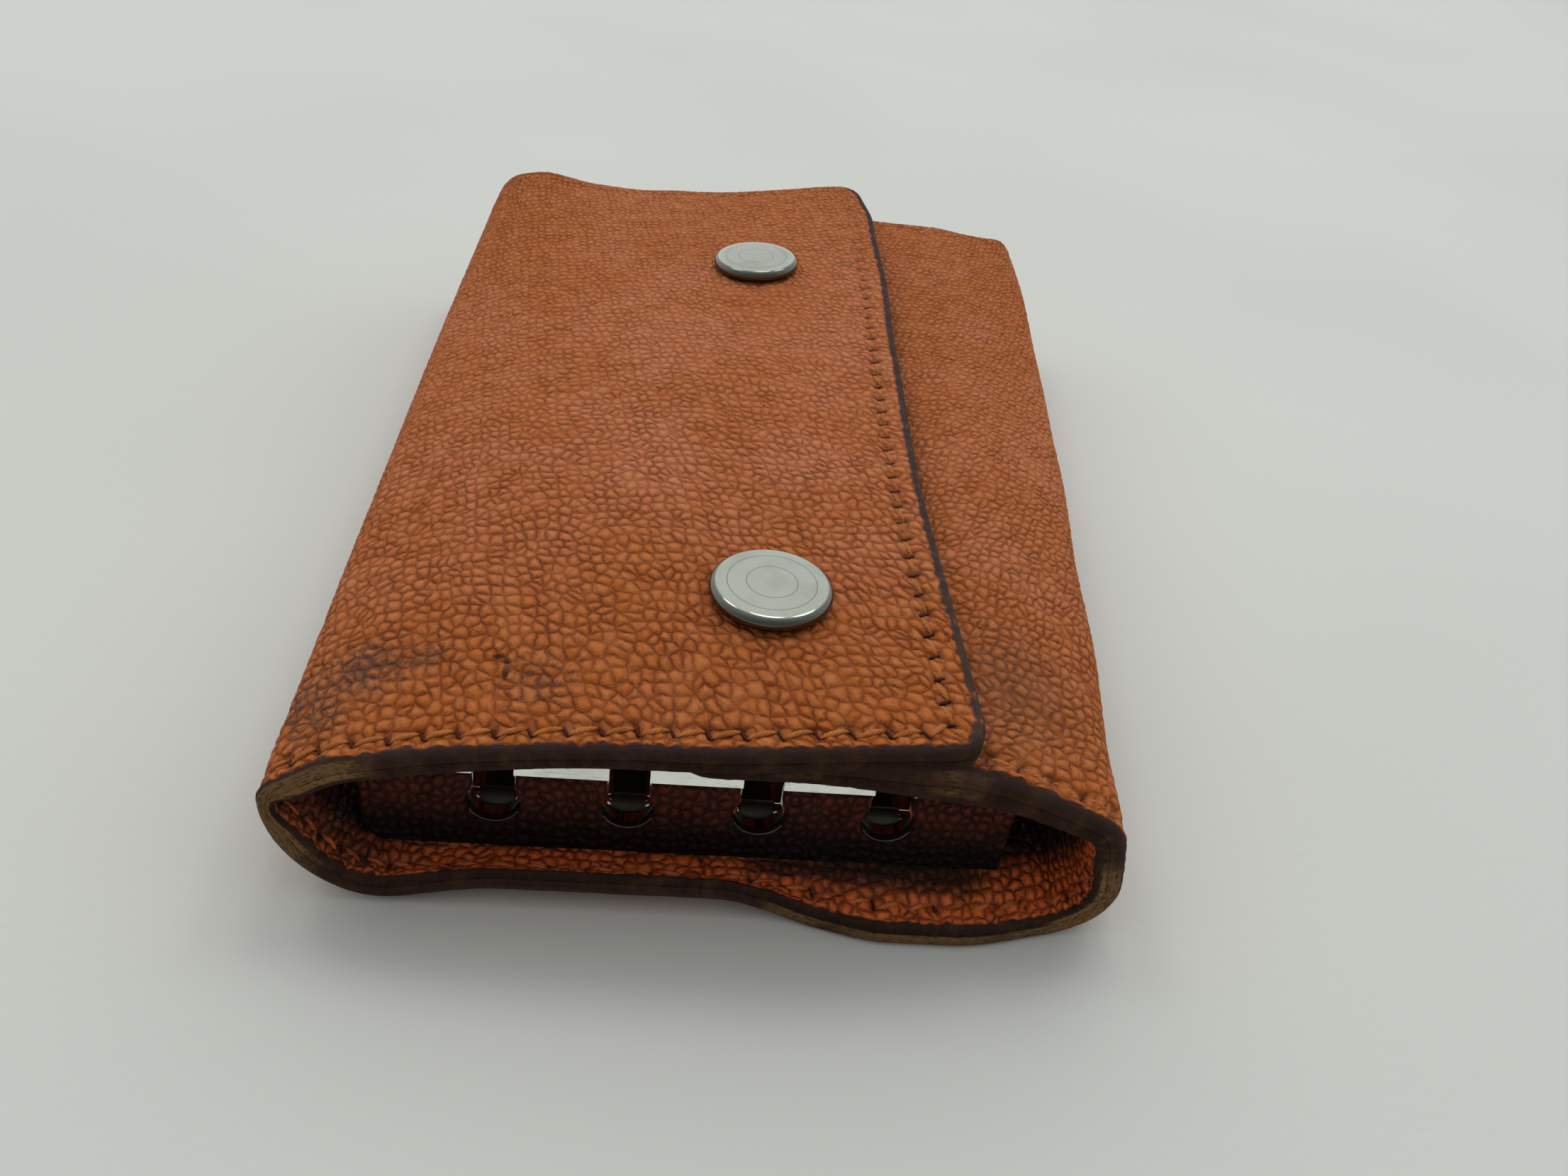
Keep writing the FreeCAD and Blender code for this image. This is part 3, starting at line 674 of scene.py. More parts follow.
def stitch_marks(run, y, ends, sheet):
    """How much of a stitch hole each point is in, and how deep the stitch line is pressed in there."""
    hole = np.zeros(len(run))
    for spot in ends.reshape(-1, 2):
        near = np.nonzero((np.abs(run - spot[0]) < hole_window) & (np.abs(y - spot[1]) < hole_window))[0]
        across, ahead = run[near] - spot[0], y[near] - spot[1]
        length = (across * hole_heading[0] + ahead * hole_heading[1]) / hole_length
        width = (across * hole_heading[1] - ahead * hole_heading[0]) / hole_width
        hole[near] = np.maximum(hole[near], np.exp(-length ** 2 - width ** 2))
    edge, end = sheet.gaps(run, y)
    groove = stitch_groove * hump(np.minimum(edge - edge_inset, end - end_inset), 0, stitch_groove_width)
    fainter = far_fading(y, 0.6)
    return hole * fainter, groove * fainter


def add_tube(points, faces, rings):
    """Adds a closed tube through rings of points to a mesh's points and faces."""
    loops = []
    for ring in rings:
        loops.append(list(range(len(points), len(points) + len(ring))))
        points.extend(ring)
    for low, high in zip(loops, loops[1:]):
        faces.extend(ring_faces(low, high))
    faces.extend([loops[0][::-1], loops[-1]])


def bead_rings(sheet, a, b, depth, sign, radius, rises):
    """Rings of points round a flattened bead on the leather from a to b, with its height at each step."""
    shares = np.linspace(0, 1, len(rises))
    runs, ys = a[0] + (b[0] - a[0]) * shares, a[1] + (b[1] - a[1]) * shares
    centre = sheet.place(runs, ys, depth)
    up = sheet.outward(runs, ys) * sign
    ahead = np.gradient(centre, axis=0)
    ahead /= np.linalg.norm(ahead, axis=1)[:, None]
    aside = np.cross(up, ahead)
    swell = np.sin(math.pi * shares) ** 0.7 * radius + bead_tip
    angles = np.linspace(0, 2 * math.pi, bead_sides, endpoint=False)
    return [[centre[k] + aside[k] * math.cos(angle) * width
             + up[k] * (math.sin(angle) * width * bead_flatness + rises[k]) for angle in angles]
            for k, width in enumerate(swell)]


def make_stitches(name, sheet, ends, depth, sign, sunk):
    """The stitches of one side of a sheet, slack beads of thread, and the slits that they go into, painted
    dark as the shade in the stitch holes.
    """
    shares = np.linspace(0, 1, bead_steps)
    bow = stitch_bow * np.sin(math.pi * shares) ** 0.6
    points, faces, grain, soot = [], [], [], []
    for number, (a, b) in enumerate(ends):
        lengthwise = abs(b[1] - a[1]) > abs(b[0] - a[0])
        rises = -sunk - lengthwise_sink * lengthwise - stitch_sink + bow
        rings = bead_rings(sheet, a, b, depth, sign, stitch_radius, rises)
        add_tube(points, faces, rings)
        for share, ring in zip(shares, rings):
            grain += [(share * stitch_length + number * 7.0, m / 4, number * 1.7) for m in range(len(ring))]
            # Painted shade at the thread's ends, where it goes into the holes
            soot += [0.5 * (share in (0.0, 1.0))] * len(ring)
        if number + 1 < len(ends):
            c = ends[number + 1][0]
            over = (c - b) / np.linalg.norm(c - b) * slit_overrun
            radius = slit_radius * (1 + 0.5 * lengthwise) * float(far_fading(b[1], 0.4))
            rises = np.full(slit_steps, slit_rise - sunk)
            add_tube(points, faces, bead_rings(sheet, b - over, c + over, depth, sign, radius, rises))
            # Painted shade in the slits, lighter on lengthwise slits away from the near end
            slit_shade = 1 - 0.45 * lengthwise * float(ease(-45, -15, b[1]))
            grain += [(number * 7.0, 0.0, 0.0)] * (slit_steps * bead_sides)
            soot += [slit_shade] * (slit_steps * bead_sides)
    return closed_object(name, points, faces, grain=grain, soot=soot)


class Signal:
    """A node's output, a number or a vector, that can be reckoned with."""

    def __init__(self, tree, socket):
        self.tree, self.socket = tree, socket

    def __add__(self, other):
        return self.tree.math("ADD", self, other)

    def __sub__(self, other):
        return self.tree.math("SUBTRACT", self, other)

    def __rsub__(self, other):
        return self.tree.math("SUBTRACT", other, self)

    def __mul__(self, other):
        return self.tree.math("MULTIPLY", self, other)

    def __truediv__(self, other):
        return self.tree.math("DIVIDE", self, other)

    def __pow__(self, other):
        return self.tree.math("POWER", self, other)


class Tree:
    """Short ways to add nodes to a shader or geometry tree."""

    def __init__(self, tree):
        self.tree = tree

    def feed(self, node, inputs):
        """Links or sets inputs of a node, by name or number."""
        for name, value in inputs.items():
            if isinstance(value, Signal):
                self.tree.links.new(value.socket, node.inputs[name])
            else:
                node.inputs[name].default_value = value

    def add(self, kind, inputs=None, **settings):
        """A new node with some of its settings and inputs."""
        node = self.tree.nodes.new(kind)
        for name, value in settings.items():
            setattr(node, name, value)
        self.feed(node, inputs or {})
        return node

    def outputs(self, kind, inputs=None, **settings):
        """The outputs of a new node, by name."""
        node = self.add(kind, inputs, **settings)
        return {name: Signal(self, socket) for name, socket in node.outputs.items()}

    def math(self, operation, a, b, **settings):
        """A number or vector from two others, of which one may be plain."""
        signals = [value for value in (a, b) if isinstance(value, Signal)]
        plain = all(signal.socket.type == "VALUE" for signal in signals)
        kind = "ShaderNodeMath" if plain else "ShaderNodeVectorMath"
        return Signal(self, self.add(kind, {0: a, 1: b}, operation=operation, **settings).outputs[0])

    def ramp(self, value, low, high, start=0.0, end=1.0):
        """A smooth change from start at low to end at high."""
        inputs = {"Value": value, "From Min": low, "From Max": high, "To Min": start, "To Max": end}
        return self.outputs("ShaderNodeMapRange", inputs, interpolation_type="SMOOTHSTEP")["Result"]

    def mix(self, share, a, b):
        """A colour between two others, which are signals or plain colours from 0 to 255."""
        a, b = (colour if isinstance(colour, Signal) else srgb(*colour) for colour in (a, b))
        return Signal(self, self.add("ShaderNodeMix", {0: share, 6: a, 7: b}, data_type="RGBA").outputs[2])

    def noise(self, vector, scale, detail=2.0, roughness=0.5, output="Fac"):
        """Noise read at a vector."""
        inputs = {"Vector": vector, "Scale": scale, "Detail": detail, "Roughness": roughness}
        return self.outputs("ShaderNodeTexNoise", inputs)[output]

    def cells(self, vector, feature):
        """A flat pattern of cells about one unit wide, read at a vector."""
        inputs = {"Vector": vector, "Scale": 1.0, "Randomness": cell_randomness}
        return self.outputs("ShaderNodeTexVoronoi", inputs, voronoi_dimensions="2D", feature=feature)

    def split(self, vector):
        """A vector's X, Y and Z."""
        return self.outputs("ShaderNodeSeparateXYZ", {0: vector})

    def attribute(self, name, output="Fac"):
        """A mesh attribute read in a shader."""
        return self.outputs("ShaderNodeAttribute", attribute_name=name)[output]

    def bump(self, shader, height, strength, distance):
        """Feeds a shader's normal from a height, over a distance in millimetres."""
        inputs = {"Height": height, "Strength": strength, "Distance": distance * MM}
        self.feed(shader, {"Normal": self.outputs("ShaderNodeBump", inputs)["Normal"]})


def grain_pattern(tree, coordinate, cell):
    """Pebbled leather grain: its height from 0 to 1, how much painted shade it gets in its creases and
    hollows, and each pebble's value.

    The cell is the pebbles' size at the near end and at the far end.
    """
    near_count, growth = 1 / cell[0], 1 / cell[1] - 1 / cell[0]
    place = tree.split(coordinate)
    share = (place["Y"] - near_y) / case_length
    along = share * (case_length * grain_shortening) * (share * (growth / 2) + near_count)
    across = place["X"] * (share * growth + near_count)
    spot = tree.outputs("ShaderNodeCombineXYZ", {"X": across, "Y": along})["Vector"]
    moved = spot
    for rate, reach in ((drift_rate, drift_reach), (wander_rate, wander_reach)):
        sway = tree.noise(spot, rate, output="Color") - (0.5, 0.5, 0.5)
        moved = moved + sway * (reach, reach, 0.0)
    furrow = tree.cells(moved * furrow_rates, "DISTANCE_TO_EDGE")["Distance"]
    furrow = tree.ramp(furrow, 0.0, furrow_width)
    centre = tree.cells(moved, "F1")
    gap = tree.cells(moved, "F2")["Distance"] - centre["Distance"]
    slope = tree.math("MINIMUM", gap / pebble_slope, 1.0)
    crown = tree.ramp(centre["Distance"], 0.9, 0.1)
    hollow = 1.0 - slope * (2.0 - slope) * (crown * pebble_crown + (1 - pebble_crown))
    deep = tree.ramp(tree.noise(spot, depth_rate), 0.3, 0.7, least_depth, 1.0)
    height = 1 - furrow_depth - hollow * deep + furrow * furrow_depth
    # How much painted shade each place gets: darker down into the hollows between pebbles and along the
    # furrows
    crease_shade = tree.math("MAXIMUM", hollow ** 1.4 * deep, tree.ramp(furrow, 0.5, 0.0, 0.0, 0.3))
    return height, crease_shade, centre["Color"]


def grain_height(thing, cell):
    """The grain's height at every point of a mesh, read through a modifier that is taken off again."""
    group = bpy.data.node_groups.new("grain_height", "GeometryNodeTree")
    for way in ("INPUT", "OUTPUT"):
        group.interface.new_socket("Geometry", in_out=way, socket_type="NodeSocketGeometry")
    tree = Tree(group)
    start, end = tree.outputs("NodeGroupInput"), tree.add("NodeGroupOutput")
    named = tree.outputs("GeometryNodeInputNamedAttribute", {"Name": "grain"}, data_type="FLOAT_VECTOR")
    height = grain_pattern(tree, named["Attribute"], cell)[0]
    inputs = {"Name": "height", "Value": height, "Geometry": start["Geometry"]}
    store = tree.outputs("GeometryNodeStoreNamedAttribute", inputs, data_type="FLOAT", domain="POINT")
    tree.feed(end, {"Geometry": store["Geometry"]})
    modifier = thing.modifiers.new("grain_height", "NODES")
    modifier.node_group = group
    shown = thing.evaluated_get(bpy.context.evaluated_depsgraph_get())
    values = np.zeros(len(shown.data.vertices), np.float32)
    shown.data.attributes["height"].data.foreach_get("value", values)
    thing.modifiers.remove(modifier)
    return values.astype(float)


def new_material(name):
    """A material with an empty node tree but for its shader, and the short ways to add nodes."""
    made = bpy.data.materials.new(name)
    made.use_nodes = True
    return made, Tree(made.node_tree), made.node_tree.nodes["Principled BSDF"]


def leather_material(name, cell, tops, creases, edges, front_warmth, bump, gloss, marks=()):
    """Pebbled leather with painted, worn edges, rubbed or stained marks, and painted shade and shadow: in the
    creases and hollows of the grain, in the stitch holes, inside the case, beside the flap's edge and in one
    mark.

    The tops are the colours of plain leather, of faded leather with a painted pink sheen, of warm leather and
    of single pebbles, and the creases those of painted shade in the creases and of dirt with painted shade.
    """
    plain, faded_and_sheen, warm, single = tops
    crease_shade_colour, dirt_and_shade_colour = creases
    made, tree, shader = new_material(name)
    grain = tree.attribute("grain", "Vector")
    place = tree.split(grain)
    height, crease_shade, own = grain_pattern(tree, grain, cell)
    blotch = tree.ramp(tree.noise(grain, 0.07, 3.0, 0.6), 0.38, 0.62)
    # The faded tone mixes the leather's own blotches with a painted pink sheen
    rightward = tree.ramp(place["X"], -50.0, -76.0, -0.35, 0.15)
    colour = tree.mix(tree.math("ADD", blotch, rightward, use_clamp=True), plain, faded_and_sheen)
    front = tree.ramp(place["Y"], -20.0, -46.0) * front_warmth
    rear = tree.ramp(place["Y"], 10.0, 45.0, 0.0, front_warmth * 0.4)
    colour = tree.mix(tree.math("MAXIMUM", front, rear), colour, warm)
    own_share = tree.outputs("ShaderNodeSeparateColor", {0: own})["Red"]
    colour = tree.mix(own_share * 0.35, colour, single)
    speck = tree.ramp(tree.noise(grain, 2.6, 3.0, 0.7), 0.54, 0.72)
    colour = tree.mix(speck * (front * 0.42 + 0.12), colour, dirt_and_shade_colour)
    # Painted shade in the creases and hollows, fainter towards the far end
    colour = tree.mix(crease_shade * tree.ramp(place["Y"], -46.0, 12.0, 0.82, 0.36), colour, crease_shade_colour)
    for centre, reach, shade, strength, raggedness in marks:
        patch = mark(tree, grain, centre, reach, strength, raggedness)
        colour = tree.mix(patch * tree.ramp(crease_shade, 0.0, 0.5, 0.75, 1.0), colour, shade)
    # Painted shade, with dirt at the bar's foot, from the point attribute: it darkens the inside, the
    # facing's foot and the panel beside the flap's edge
    colour = tree.mix(tree.attribute("grime") * 0.95, colour, dirt_and_shade_colour)
    painted, edge_colour, fibre = painted_edge(tree, grain, place, edges)
    colour = tree.mix(painted, colour, edge_colour)
    # Painted shade in the stitch holes
    colour = tree.mix(tree.attribute("hole") * 0.7, colour, dirt_and_shade_colour)
    rough = tree.ramp(height, 0.2, 1.0, 0.82, 0.62 - gloss * 0.3) + painted * 0.08
    tree.feed(shader, {"Base Color": colour, "Roughness": rough,
                       "Specular IOR Level": tree.ramp(painted, 0.0, 1.0, gloss, 0.1)})
    bumps = height * (1.0 - painted) + tree.noise(grain, 6.0, 3.0) * 0.2 + fibre * painted * 0.6
    tree.bump(shader, bumps, 1.0, bump)
    return made


def painted_edge(tree, grain, place, edges):
    """How far a place is on a painted edge, the edge's colour in its layers, and its fibres.

    The edges are the colours of paint above, with a painted sheen, and below, of bare and of rubbed leather,
    and where bare leather starts.
    """
    upper_paint_and_sheen, lower, bare_colour, rubbed_colour, bare_start = edges
    rim = tree.attribute("rim")
    raggedness = tree.ramp(place["Y"], -50.0, -20.0, -1.3, -0.6)
    painted = tree.ramp(rim + (tree.noise(grain, 0.8, 1.0) - 0.5) * raggedness, 0.55, 0.2)
    fibre = tree.noise(grain * (1.0, 1.0, 4.0), 1.7, 4.0, 0.65)
    # The upper paint carries a painted sheen
    colour = tree.mix(tree.ramp(place["Z"], 0.25, 0.8), upper_paint_and_sheen, lower)
    rubbed = tree.ramp(tree.noise(grain, 0.5, 4.0, 0.6), 0.45, 0.7)
    colour = tree.mix(rubbed * 0.6, colour, rubbed_colour)
    worn = tree.ramp(tree.noise(grain, 0.22, 3.0) + tree.attribute("bare"), 0.72, 1.1)
    bare = tree.ramp(fibre, 0.28, 0.56) * worn * tree.ramp(rim, bare_start, bare_start - 0.4)
    colour = tree.mix(bare * 0.9, colour, bare_colour)
    colour = tree.mix(tree.ramp(fibre, 0.46, 0.3) * 0.55, colour, lower)
    return painted, colour, fibre


def mark(tree, grain, centre, reach, strength, raggedness):
    """A patch round a place on the leather, broken up by its raggedness."""
    apart = (grain - (*centre, 0.0)) / (*reach, 1.0)
    away = tree.outputs("ShaderNodeVectorMath", {0: apart}, operation="LENGTH")["Value"]
    ragged = (tree.noise(grain, 1.5, 5.0, 0.75) - 0.42) * raggedness
    return tree.ramp(away + ragged, 0.9, 0.3) * strength


def thread_material(name, light, dark):
    """Waxed thread of twisted strands, near the leather's own colour."""
    made, tree, shader = new_material(name)
    grain = tree.attribute("grain", "Vector")
    twist = tree.outputs("ShaderNodeTexWave", {"Vector": grain, "Scale": 1.6, "Distortion": 0.6},
                         wave_type="BANDS", bands_direction="DIAGONAL")["Fac"]
    colour = tree.mix(tree.ramp(tree.noise(grain, 0.8, 3.0), 0.35, 0.65), light, dark)
    colour = tree.mix(twist * 0.3, colour, light)
    # Painted shade at the thread's ends and in the slits
    colour = tree.mix(tree.attribute("soot"), colour, (70, 32, 17))
    tree.feed(shader, {"Base Color": colour, "Roughness": 0.6, "Specular IOR Level": 0.1})
    tree.bump(shader, twist, 0.7, 0.05)
    return made


def metal_material(name, bright, dull, roughness, scale, wear, metallic=1.0):
    """Plated metal with a soft haze and fine scratches, painted darker by a point attribute: painted shade in
    grooves and beneath, and painted dark reflections.
    """
    made, tree, shader = new_material(name)
    place = tree.outputs("ShaderNodeTexCoord")["Object"]
    haze = tree.noise(place, 0.35 / MM * scale, 4.0, 0.6)
    lines = tree.ramp(tree.noise(place * (0.35, 6.0, 3.0), 1.4 / MM * scale, 3.0, 0.7), 0.56, 0.66)
    colour = tree.mix(tree.ramp(haze, 0.42, 0.68) * 0.6, bright, dull)
    colour = tree.mix(lines * 0.18, colour, dull)
    # Painted shade and painted dark reflections, from the point attribute
    colour = tree.mix(tree.attribute("soot"), colour, (34, 28, 22))
    tree.feed(shader, {"Base Color": colour, "Metallic": metallic,
                       "Roughness": tree.ramp(haze, 0.3, 0.7, *roughness) + lines * 0.12})
    tree.bump(shader, haze + lines * -0.5, wear, 0.02)
    return made


def turned(x, y, profile, segments):
    """Points and faces turned about an upright line from (radius, z) points that start and end on it."""
    angles = np.linspace(0, 2 * math.pi, segments, endpoint=False)
    points, loops = [(x, y, profile[0][1])], []
    for radius, z in profile[1:-1]:
        loops.append(list(range(len(points), len(points) + segments)))
        points += [(x + radius * math.cos(a), y + radius * math.sin(a), z) for a in angles]
    top = len(points)
    points.append((x, y, profile[-1][1]))
    faces = [[0, loops[0][k], loops[0][k - 1]] for k in range(segments)]
    for low, high in zip(loops, loops[1:]):
        faces += ring_faces(low, high)
    faces += [[loops[-1][k - 1], loops[-1][k], top] for k in range(segments)]
    return points, faces


def make_cap(place):
    """A bare press stud cap: softly domed face with two fine rings, rolled rim, narrow foot and post."""
    low, high = cap_boxes[place]
    y, top, bottom, seat = snap_ys[place], high[2], low[2], flap_top_z
    flat = (high[0] - low[0]) / 2 - cap_rim
    ledge = bottom + cap_foot_height
    profile = [(0, bottom), (cap_foot, bottom), (cap_foot, ledge), (cap_post, ledge)]
    profile += [(radius, seat + z) for radius, z in cap_skirt]
    # The foot, post and skirt are painted fully dark: painted shade beneath the cap
    soot = [1.0] * len(profile)
    for angle in np.linspace(-110, 90, 30):
        a = math.radians(angle)
        profile.append((flat + cap_rim * math.cos(a), top - cap_rim - cap_dome + cap_rim * math.sin(a)))
        # Round the rim, a painted dark reflection in a band below the face, and painted shade towards its
        # underside
        soot.append(0.68 * float(ease(76, 62, angle)) + 0.2 * float(ease(0, -40, angle)))
    rings = [share + way * cap_ring_width for share in cap_rings for way in (-1, 0, 1)]
    for share in np.sort(np.concatenate([np.linspace(0.93, 0.08, 12), rings]))[::-1]:
        in_ring = share in cap_rings
        profile.append((flat * share, top - cap_dome * share ** 4 - cap_ring_depth * in_ring))
        # The fine rings are painted dark, painted shade in their grooves, and the rear cap's face is painted
        # darker all over, a painted dimmer reflection
        soot.append(max(0.7 * in_ring, cap_dimming[place]))
    profile.append((0, top))
    soot = [soot[0], *np.repeat(soot[1:], cap_segments), cap_dimming[place]]
    made = closed_object("cap_" + place, *turned(snap_x, y, profile, cap_segments), soot=soot)
    centre = np.array([snap_x, y, seat]) * MM
    tilt = Matrix.Rotation(math.radians(-cap_tilts[place]), 4, "Y")
    move = Matrix.Translation(np.array(cap_moves[place]) * MM)
    made.data.transform(move @ Matrix.Translation(centre) @ tilt @ Matrix.Translation(-centre))
    return made


def arc(x, z, radius, start, end, count):
    """Points of an arc about a centre, from one angle to another."""
    return [(x + radius * math.cos(a), z + radius * math.sin(a)) for a in np.linspace(start, end, count)]


def facing_outline():
    """The front of the bar's leather facing, with four keyhole windows open at the top."""
    half, bottom, top = cover_high[0], cover_low[2], cover_high[2]
    left, quarter = -half - facing_overhang, math.pi / 2
    corner_z = top - facing_corner
    foot_x, foot_z = left + facing_foot_round, bottom + facing_foot_round
    start = math.atan2(math.sqrt(window_foot ** 2 - window_slot ** 2), -window_slot)
    points = [(foot_x, bottom)]
    points += arc(foot_x, foot_z, facing_foot_round, -quarter - 0.2, -math.pi, 6)
    points += arc(left + facing_corner, corner_z, facing_corner, math.pi, quarter, 10)
    for x in hook_xs:
        keyhole = arc(x, window_foot_z, window_foot, start, 3 * math.pi - start, 40)
        points += [(x - window_slot, top), *keyhole, (x + window_slot, top)]
    points += arc(half - facing_corner, corner_z, facing_corner, quarter, 0, 10)
    points.append((half, bottom))
    dense = []
    for a, b in zip(points, points[1:] + points[:1]):
        steps = max(1, int(math.dist(a, b) / facing_outline_step))
        dense += [(a[0] + (b[0] - a[0]) * k / steps, a[1] + (b[1] - a[1]) * k / steps) for k in range(steps)]
    return np.array(dense)


def filled(outline, step):
    """Points and faces that fill a closed outline evenly, and the outline's own places among the points."""
    count = len(outline)
    xs, zs = (np.arange(outline[:, k].min() + step, outline[:, k].max(), step) for k in (0, 1))
    grid = np.stack(np.meshgrid(xs, zs), -1).reshape(-1, 2)
    apart = grid[:, None] - outline[None, :]
    grid = grid[np.min(np.hypot(apart[..., 0], apart[..., 1]), axis=1) > 0.3 * step]
    seeds = [tuple(p) for p in np.concatenate([outline, grid])]
    border = [(k, (k + 1) % count) for k in range(count)]
    points, _, faces, sources, *_ = delaunay_2d_cdt(seeds, border, [list(range(count))], 1, 1e-5)
    where = {source[0]: number for number, source in enumerate(sources) if source}
    return points, [list(face) for face in faces], [where[k] for k in range(count)]


def make_facing():
    """The grained leather on the front of the key bar, with soft edges round its windows."""
    outline = facing_outline()
    front, back = cover_low[1], cover_high[1]
    tangent = np.roll(outline, -1, 0) - np.roll(outline, 1, 0)
    tangent /= np.linalg.norm(tangent, axis=1)[:, None]
    inward = np.stack([tangent[:, 1], -tangent[:, 0]], -1)
    flat, faces, last = filled(outline + inward * facing_soft, facing_step)
    points = [(p[0], front, p[1]) for p in flat]
    for inset, depth in [*facing_profile, (0.0, back - front)]:
        ring = list(range(len(points), len(points) + len(outline)))
        points += [(spot[0], front + depth, spot[1]) for spot in outline + inward * inset]
        faces += ring_faces(last, ring)
        last = ring
    points = np.array(points)
    depth = points[:, 1] - front
    on_front = depth < 0.02
    # The facing is painted darker towards its foot: painted shade low on the bar
    made = closed_object("bar_facing", points, [*faces, last[::-1]],
                         grain=np.stack([points[:, 0], points[:, 2] - 60, depth], -1),
                         rim=np.where(on_front, 6.0, 1.6 - depth * 3), hole=0 * depth, bare=0 * depth,
                         grime=ease(9.0, 4.0, points[:, 2]))
    points[:, 1] -= (grain_height(made, facing_cell) - grain_level) * facing_relief * on_front
    move_points(made, points)
    return made


def make_window_rims():
    """The bright edge of the metal in the foot of each keyhole window."""
    y, reach = cover_low[1] + 0.3, window_foot - window_rim
    points, faces = [], []
    for x in hook_xs:
        rings = []
        for a in np.linspace(math.radians(205), math.radians(335), 24):
            out = np.array([math.cos(a), 0, math.sin(a)])
            middle = np.array([x, y, window_foot_z]) + out * reach
            rings.append([middle + window_rim * (math.cos(t) * out + math.sin(t) * np.array([0, 1, 0]))
                          for t in np.linspace(0, 2 * math.pi, 6, endpoint=False)])
        add_tube(points, faces, rings)
    return closed_object("window_rims", points, faces)


def make_lint():
    """Loose dark fibres caught along the foot of the bar, mostly on the right."""
    rng = np.random.default_rng(7)
    points, faces, grain = [], [], []
    for number in range(lint_count):
        x = 3 + 20 * rng.beta(1.8, 1.4)
        spot = np.array([x, cover_low[1] - rng.uniform(0.05, 1.8), wall + rng.uniform(0.1, 0.6)])
        heading, lift = rng.uniform(0, 2 * math.pi), rng.uniform(-0.1, 0.5)
        curl = rng.normal(0, 0.9)
        length, radius = rng.uniform(0.7, 2.4), rng.uniform(0.012, 0.026)
        rings = []
        for k in range(lint_joints):
            rings.append([spot + radius * np.array([0, math.cos(a), math.sin(a)]) for a in (0, 2.1, 4.2)])
            way = np.array([math.cos(heading) * 0.9, math.sin(heading) * 0.35, lift * (1 - k / 3.5) * 0.5])
            spot = spot + way * length / (lint_joints - 1)
            spot[1] = min(spot[1], cover_low[1] - 0.03)
            spot[2] = max(spot[2], wall + 0.06)
            heading += curl * 0.35
        add_tube(points, faces, rings)
        grain += [(number * 3.1, p[0], 0) for ring in rings for p in ring]
    return closed_object("lint", points, faces, grain=grain)


def lint_material():
    """Grey and brown fibres."""
    made, tree, shader = new_material("lint_fibre")
    shade = tree.ramp(tree.noise(tree.attribute("grain", "Vector"), 0.9), 0.4, 0.6)
    colour = tree.mix(shade, (58, 56, 46), (30, 31, 26))
    tree.feed(shader, {"Base Color": colour, "Roughness": 0.9})
    return made


def make_floor():
    """A plain pale floor with a faint tooth."""
    corners = [(x * floor_half, y * floor_half, 0) for x, y in ((-1, -1), (1, -1), (1, 1), (-1, 1))]
    floor = new_object("floor", corners, [[0, 1, 2, 3]])
    made, tree, shader = new_material("pale_floor")
    place = tree.outputs("ShaderNodeTexCoord")["Object"]
    cloud = tree.ramp(tree.noise(place, 9.0), 0.3, 0.7)
    colour = tree.mix(cloud, (213, 214, 209), (208, 209, 204))
    tree.feed(shader, {"Base Color": colour, "Roughness": 0.85})
    tree.bump(shader, tree.noise(place, 0.9 / MM, 3.0, 0.6), 0.35, 0.12)
    floor.data.materials.append(made)


def make_lights():
    """Soft light from all round, brighter from behind, and soft lamps overhead."""
    world = bpy.data.worlds.new("studio")
    bpy.context.scene.world = world
    world.use_nodes = True
    sky = Tree(world.node_tree)
    towards = sky.split(sky.outputs("ShaderNodeTexCoord")["Generated"])
    strength = sky.ramp(towards["Y"] * 0.95 + towards["Z"] * 0.3, -0.75, 0.95, 0.28, 1.06)
    sky.feed(world.node_tree.nodes["Background"], {"Color": sky_colour, "Strength": strength})
    for number, spot in enumerate(lamp_places):
        lamp = bpy.data.lights.new("lamp_%d" % number, "AREA")
        lamp.shape, lamp.size, lamp.energy = "DISK", lamp_size, lamp_energy
        link_new(lamp.name, lamp).matrix_world = looking(spot, -np.array(spot))


def make_camera():
    """A camera where the photograph was taken."""
    camera = bpy.data.cameras.new("camera")
    camera.sensor_fit, camera.sensor_width = "HORIZONTAL", sensor_width
    camera.lens = focal_pixels / image_width * sensor_width
    camera.clip_start = 0.01
    yaw, pitch, roll = (math.radians(angle) for angle in (camera_yaw, camera_pitch, camera_roll))
    turn = Matrix.Rotation(-yaw, 4, "Z") @ Matrix.Rotation(math.pi / 2 - pitch, 4, "X")
    turn = turn @ Matrix.Rotation(-roll, 4, "Z")
    held = link_new("camera", camera)
    held.matrix_world = Matrix.Translation(np.array(camera_place) * MM) @ turn
    bpy.context.scene.camera = held
    bpy.context.scene.view_settings.view_transform = "Standard"


def looking(spot, direction):
    """A lamp's matrix at a spot, shining along a direction."""
    back = -np.array(direction) / np.linalg.norm(direction)
    right = np.cross([0, 1, 0.01], back)
    right /= np.linalg.norm(right)
    up = np.cross(back, right)
    return Matrix([[right[k], up[k], back[k], spot[k]] for k in range(3)] + [[0, 0, 0, 1]])


def paint_node(name, material):
    """Gives a solid that stays in view its material."""
    solid = frame["nodes"][name]
    solid.data.materials.clear()
    solid.data.materials.append(material)


make_floor()
make_lights()
make_camera()

